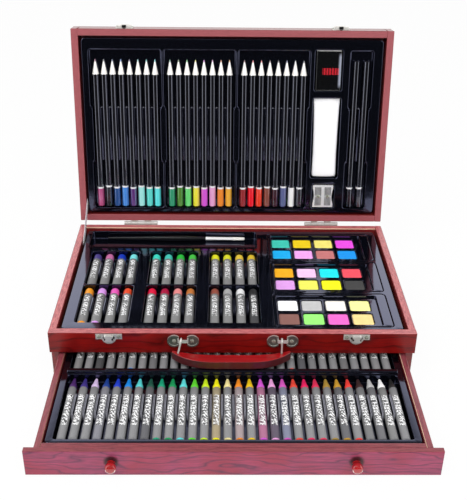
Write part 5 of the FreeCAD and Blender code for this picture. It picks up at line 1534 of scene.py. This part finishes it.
class ART_OT_screws(ArtBoxOperator, bpy.types.Operator):
    """Drive the round-head screws and the ribbon's tacks."""
    bl_idname = "art_box.screws"
    bl_label = "Screws"

    def execute(self, context):
        for node, body, space, out in (("hinge_screws_case", "case", CASE_SPACE, (0, 1, 0)),
                                       ("catch_screws", "case", CASE_SPACE, (0, -1, 0)),
                                       ("bracket_screws", "case", CASE_SPACE, (0, -1, 0)),
                                       ("ribbon_tack_case", "case", CASE_SPACE, (1, 0, 0)),
                                       ("knob_screws", "drawer", CASE_SPACE, (0, 1, 0)),
                                       ("hinge_screws_lid", "lid", LID_SPACE, (0, -1, 0)),
                                       ("hasp_screws", "lid", LID_SPACE, (0, 1, 0)),
                                       ("sharpener_screws", "lid", LID_SPACE, (0, 0, 1)),
                                       ("ribbon_tack_lid", "lid", LID_SPACE, (1, 0, 0))):
            self.heads(node, body, space, Vector(out))
        return {"FINISHED"}

    def heads(self, node, body, space, out):
        """One head and shank on the place of each of the node's screws."""
        axis = max(range(3), key=lambda i: abs(out[i]))
        places = []
        boxes = solids(node, space)
        for a, b in boxes:
            place = (a + b) / 2
            place[axis] = b[axis] if out[axis] > 0 else a[axis]
            places.append(space @ place)
        size = boxes[0][1] - boxes[0][0]
        radius = max(size[i] for i in range(3) if i != axis) / 2
        template = screw_mesh(size[axis] / radius)
        base = bpy.data.meshes.new(node + "_places")
        base.from_pydata(places, [], [])
        way = (space.to_3x3() @ out).normalized()
        lean = Vector((0, 0, 1)).rotation_difference(way).to_euler()
        steel = material_once("bright_screw_steel", plated_steel, linear("#C8CCBC"), 0.25, 0.3, 0.35)
        obj = grown(node + "_driven", turned_screws, template, steel, base, Head_Radius=radius,
                    Lean=Vector(lean), Seed=settings().stick.seed)
        smooth(obj.data, 35)
        finish(obj, body, "screw_steel", node)


def screw_mesh(depth):
    """A slotted round head of radius one whose top is at zero, with a shank down to minus depth."""
    profile = [(-depth, 0), (-depth, 0.12), (-depth + 0.4, 0.42), (-0.36, 0.42), (-0.36, 0.98),
               (-0.28, 1.0), (-0.16, 0.86), (-0.06, 0.58), (-0.01, 0.3), (0, 0)]
    bm = lathe([(a / MM, r / MM) for a, r in profile], 18)
    bm.transform(Matrix.Rotation(math.pi / 2, 4, "X"))
    head = piece("screw_blank", mesh_from(bm, "screw_blank"), [])
    cutter = bmesh.new()
    bmesh.ops.create_cube(cutter, size=1.0)
    cutter.transform(Matrix.Diagonal((0.24, 2.4, 0.36, 1.0)))
    slot = piece("screw_slot", mesh_from(cutter, "screw_slot"), [])
    cut = head.modifiers.new("slot", "BOOLEAN")
    cut.operation = "DIFFERENCE"
    cut.object = slot
    applied(head)
    mesh = head.data
    bpy.data.objects.remove(head)
    bpy.data.objects.remove(slot)
    return mesh


class ART_OT_ribbon(ArtBoxOperator, bpy.types.Operator):
    """Stretch the satin ribbon between the case and the lid."""
    bl_idname = "art_box.ribbon"
    bl_label = "Ribbon Stay"

    def execute(self, context):
        a, b = low("ribbon_tack_case"), high("ribbon_tack_case")
        start = Vector((0, (a.y + b.y) / 2, (a.z + b.z) / 2))
        a, b = reach(solids("ribbon_tack_lid", LID_SPACE))
        end = LID_SPACE @ ((a + b) / 2)
        start.x = end.x = low("ribbon_stay").x + 0.35 * MM
        tail, half, thick = 4.3 * MM, 5.0 * MM, 0.25 * MM
        way = (end - start).normalized()
        length = (end - start).length + 2 * tail
        side = Vector((1, 0, 0)).cross(way)
        bm = bmesh.new()
        uv = bm.loops.layers.uv.new("length")
        count, across = 96, 6
        grid = []
        for i in range(count + 1):
            share = i / count
            line = []
            for j in range(across + 1):
                over = (2 * j / across - 1) * half
                wave = 0.12 * MM * math.sin(7 * math.pi * share) * math.sin(math.pi * share)
                curl = 0.1 * MM * (2 * j / across - 1) ** 2
                line.append(bm.verts.new(start + way * (share * length - tail) + side * over
                                         + Vector((wave + curl, 0, 0))))
            grid.append(line)
        for i in range(count):
            for j in range(across):
                face = bm.faces.new((grid[i][j], grid[i][j + 1], grid[i + 1][j + 1], grid[i + 1][j]))
                for loop, (p, q) in zip(face.loops, ((i, j), (i, j + 1), (i + 1, j + 1), (i + 1, j))):
                    loop[uv].uv = (q / across * 2 * half, p / count * length)
        mesh = mesh_from(bm, "ribbon_satin")
        smooth(mesh, 60)
        obj = piece("ribbon_satin", mesh, [ribbon_finish("white_satin_ribbon")])
        thickness = obj.modifiers.new("thickness", "SOLIDIFY")
        thickness.thickness = 2 * thick
        thickness.offset = 0.0
        applied(obj)
        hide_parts("ribbon_stay")
        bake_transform(obj)
        return {"FINISHED"}


class ART_OT_stage(ArtBoxOperator, bpy.types.Operator):
    """Set the floor, the lamps and the camera."""
    bl_idname = "art_box.stage"
    bl_label = "Stage"

    def execute(self, context):
        stage = settings().stage
        bm = bmesh.new()
        bmesh.ops.create_circle(bm, cap_ends=True, radius=6.0, segments=64)
        floor = piece("paper_sweep", mesh_from(bm, "paper_sweep"), [floor_finish("white_paper_sweep")])
        self.dark_card()
        self.sky(stage)
        self.lamp("key_lamp", (-0.75, -1.1, 1.75), (0, 0, 0.05), 1.5, stage.key)
        self.lamp("fill_lamp", (0.5, -1.3, 1.35), (0, 0, 0.12), 1.1, stage.fill)
        self.camera()
        return {"FINISHED"}

    def dark_card(self):
        """A matt black card in front, seen only in reflections, that keeps gloss black black."""
        bm = bmesh.new()
        bm.faces.new([bm.verts.new((x, -0.48, z)) for x, z in rectangle(-0.5, 0.5, 0.0, 1.3)])
        matt = plain_finish("matt_black_card", "#08080A", 0.9, 4.0)
        card = piece("dark_card", mesh_from(bm, "dark_card"), [matt])
        for ray in ("camera", "diffuse", "shadow", "transmission"):
            setattr(card, "visible_" + ray, False)

    def sky(self, stage):
        """White to the camera and in reflections, a plain soft level on the object."""
        world = bpy.data.worlds.new("white_room")
        bpy.context.scene.world = world
        world.use_nodes = True
        tree = world.node_tree
        tree.nodes.clear()
        camera, seen = seen_rays(tree)
        up = add(tree, "SeparateXYZ", add(tree, "TexCoord", out="Generated"), out="Z")
        mirrored = add(tree, "MapRange", up, WALLS_END, CEILING_STARTS, stage.horizon, stage.ceiling)
        level = add(tree, "Mix", seen, stage.sky, add(tree, "Mix", camera, mirrored, 1))
        shade = add(tree, "Background", Color=grey(1), Strength=level)
        add(tree, "OutputWorld", Surface=shade)

    def lamp(self, name, place, aim, size, power):
        data = bpy.data.lights.new(name, "AREA")
        data.energy = power
        data.size = size
        lamp = bpy.data.objects.new(name, data)
        bpy.context.scene.collection.objects.link(lamp)
        way = Vector(aim) - Vector(place)
        lamp.matrix_world = Matrix.Translation(place) @ way.to_track_quat("-Z", "Y").to_matrix().to_4x4()

    def camera(self):
        """The photograph's own view, found from the box's corners."""
        place = Vector((-12.579, -819.184, 553.262)) * MM
        tilt, yaw, roll = 0.5188, 0.017, 0.013
        forward = Vector((math.sin(yaw) * math.cos(tilt), math.cos(yaw) * math.cos(tilt), -math.sin(tilt)))
        right = Vector((math.cos(yaw), -math.sin(yaw), 0))
        up = right.cross(forward)
        rolled = right * math.cos(roll) + up * math.sin(roll)
        rolled_up = up * math.cos(roll) - right * math.sin(roll)
        data = bpy.data.cameras.new("photo_camera")
        data.sensor_fit = "HORIZONTAL"
        data.sensor_width = 36.0
        data.lens = 66.2
        data.clip_start = 0.01
        camera = bpy.data.objects.new("photo_camera", data)
        bpy.context.scene.collection.objects.link(camera)
        camera.matrix_world = Matrix.Translation(place) @ Matrix((rolled, rolled_up, -forward)).transposed(
        ).to_4x4()
        bpy.context.scene.camera = camera


OPERATORS = (ART_OT_case_boards, ART_OT_case_tray, ART_OT_pastels, ART_OT_palettes, ART_OT_cakes,
             ART_OT_brush, ART_OT_lid_boards, ART_OT_lid_tray, ART_OT_pencils, ART_OT_small_things,
             ART_OT_drawer_boards, ART_OT_drawer_tray, ART_OT_crayons, ART_OT_pulls, ART_OT_hardware,
             ART_OT_screws, ART_OT_ribbon, ART_OT_stage)


class ART_PT_panel(bpy.types.Panel):
    """Lists the art box's pieces and settings."""
    bl_idname = "ART_PT_panel"
    bl_label = "Art Box"
    bl_space_type = "VIEW_3D"
    bl_region_type = "UI"
    bl_category = "Art Box"

    def draw(self, context):
        layout = self.layout
        box = context.scene.art_box
        for group in (box.wood, box.tray, box.stick, box.metal, box.lacquer, box.stage):
            column = layout.box().column()
            column.label(text=group.__doc__ or "")
            for key in group.__annotations__:
                column.prop(group, key)
        for operator in OPERATORS:
            layout.operator(operator.bl_idname)


CLASSES = (WoodSettings, TraySettings, StickSettings, MetalSettings, LacquerSettings, StageSettings,
           ArtBoxSettings) + OPERATORS + (ART_PT_panel,)


def register():
    for cls in CLASSES:
        bpy.utils.register_class(cls)
    bpy.types.Scene.art_box = PointerProperty(type=ArtBoxSettings)


def unregister():
    del bpy.types.Scene.art_box
    for cls in reversed(CLASSES):
        bpy.utils.unregister_class(cls)


def main():
    register()
    bpy.context.scene.view_settings.view_transform = "Standard"
    for operator in OPERATORS:
        group, name = operator.bl_idname.split(".")
        getattr(getattr(bpy.ops, group), name)()


if __name__ == "__main__":
    main()
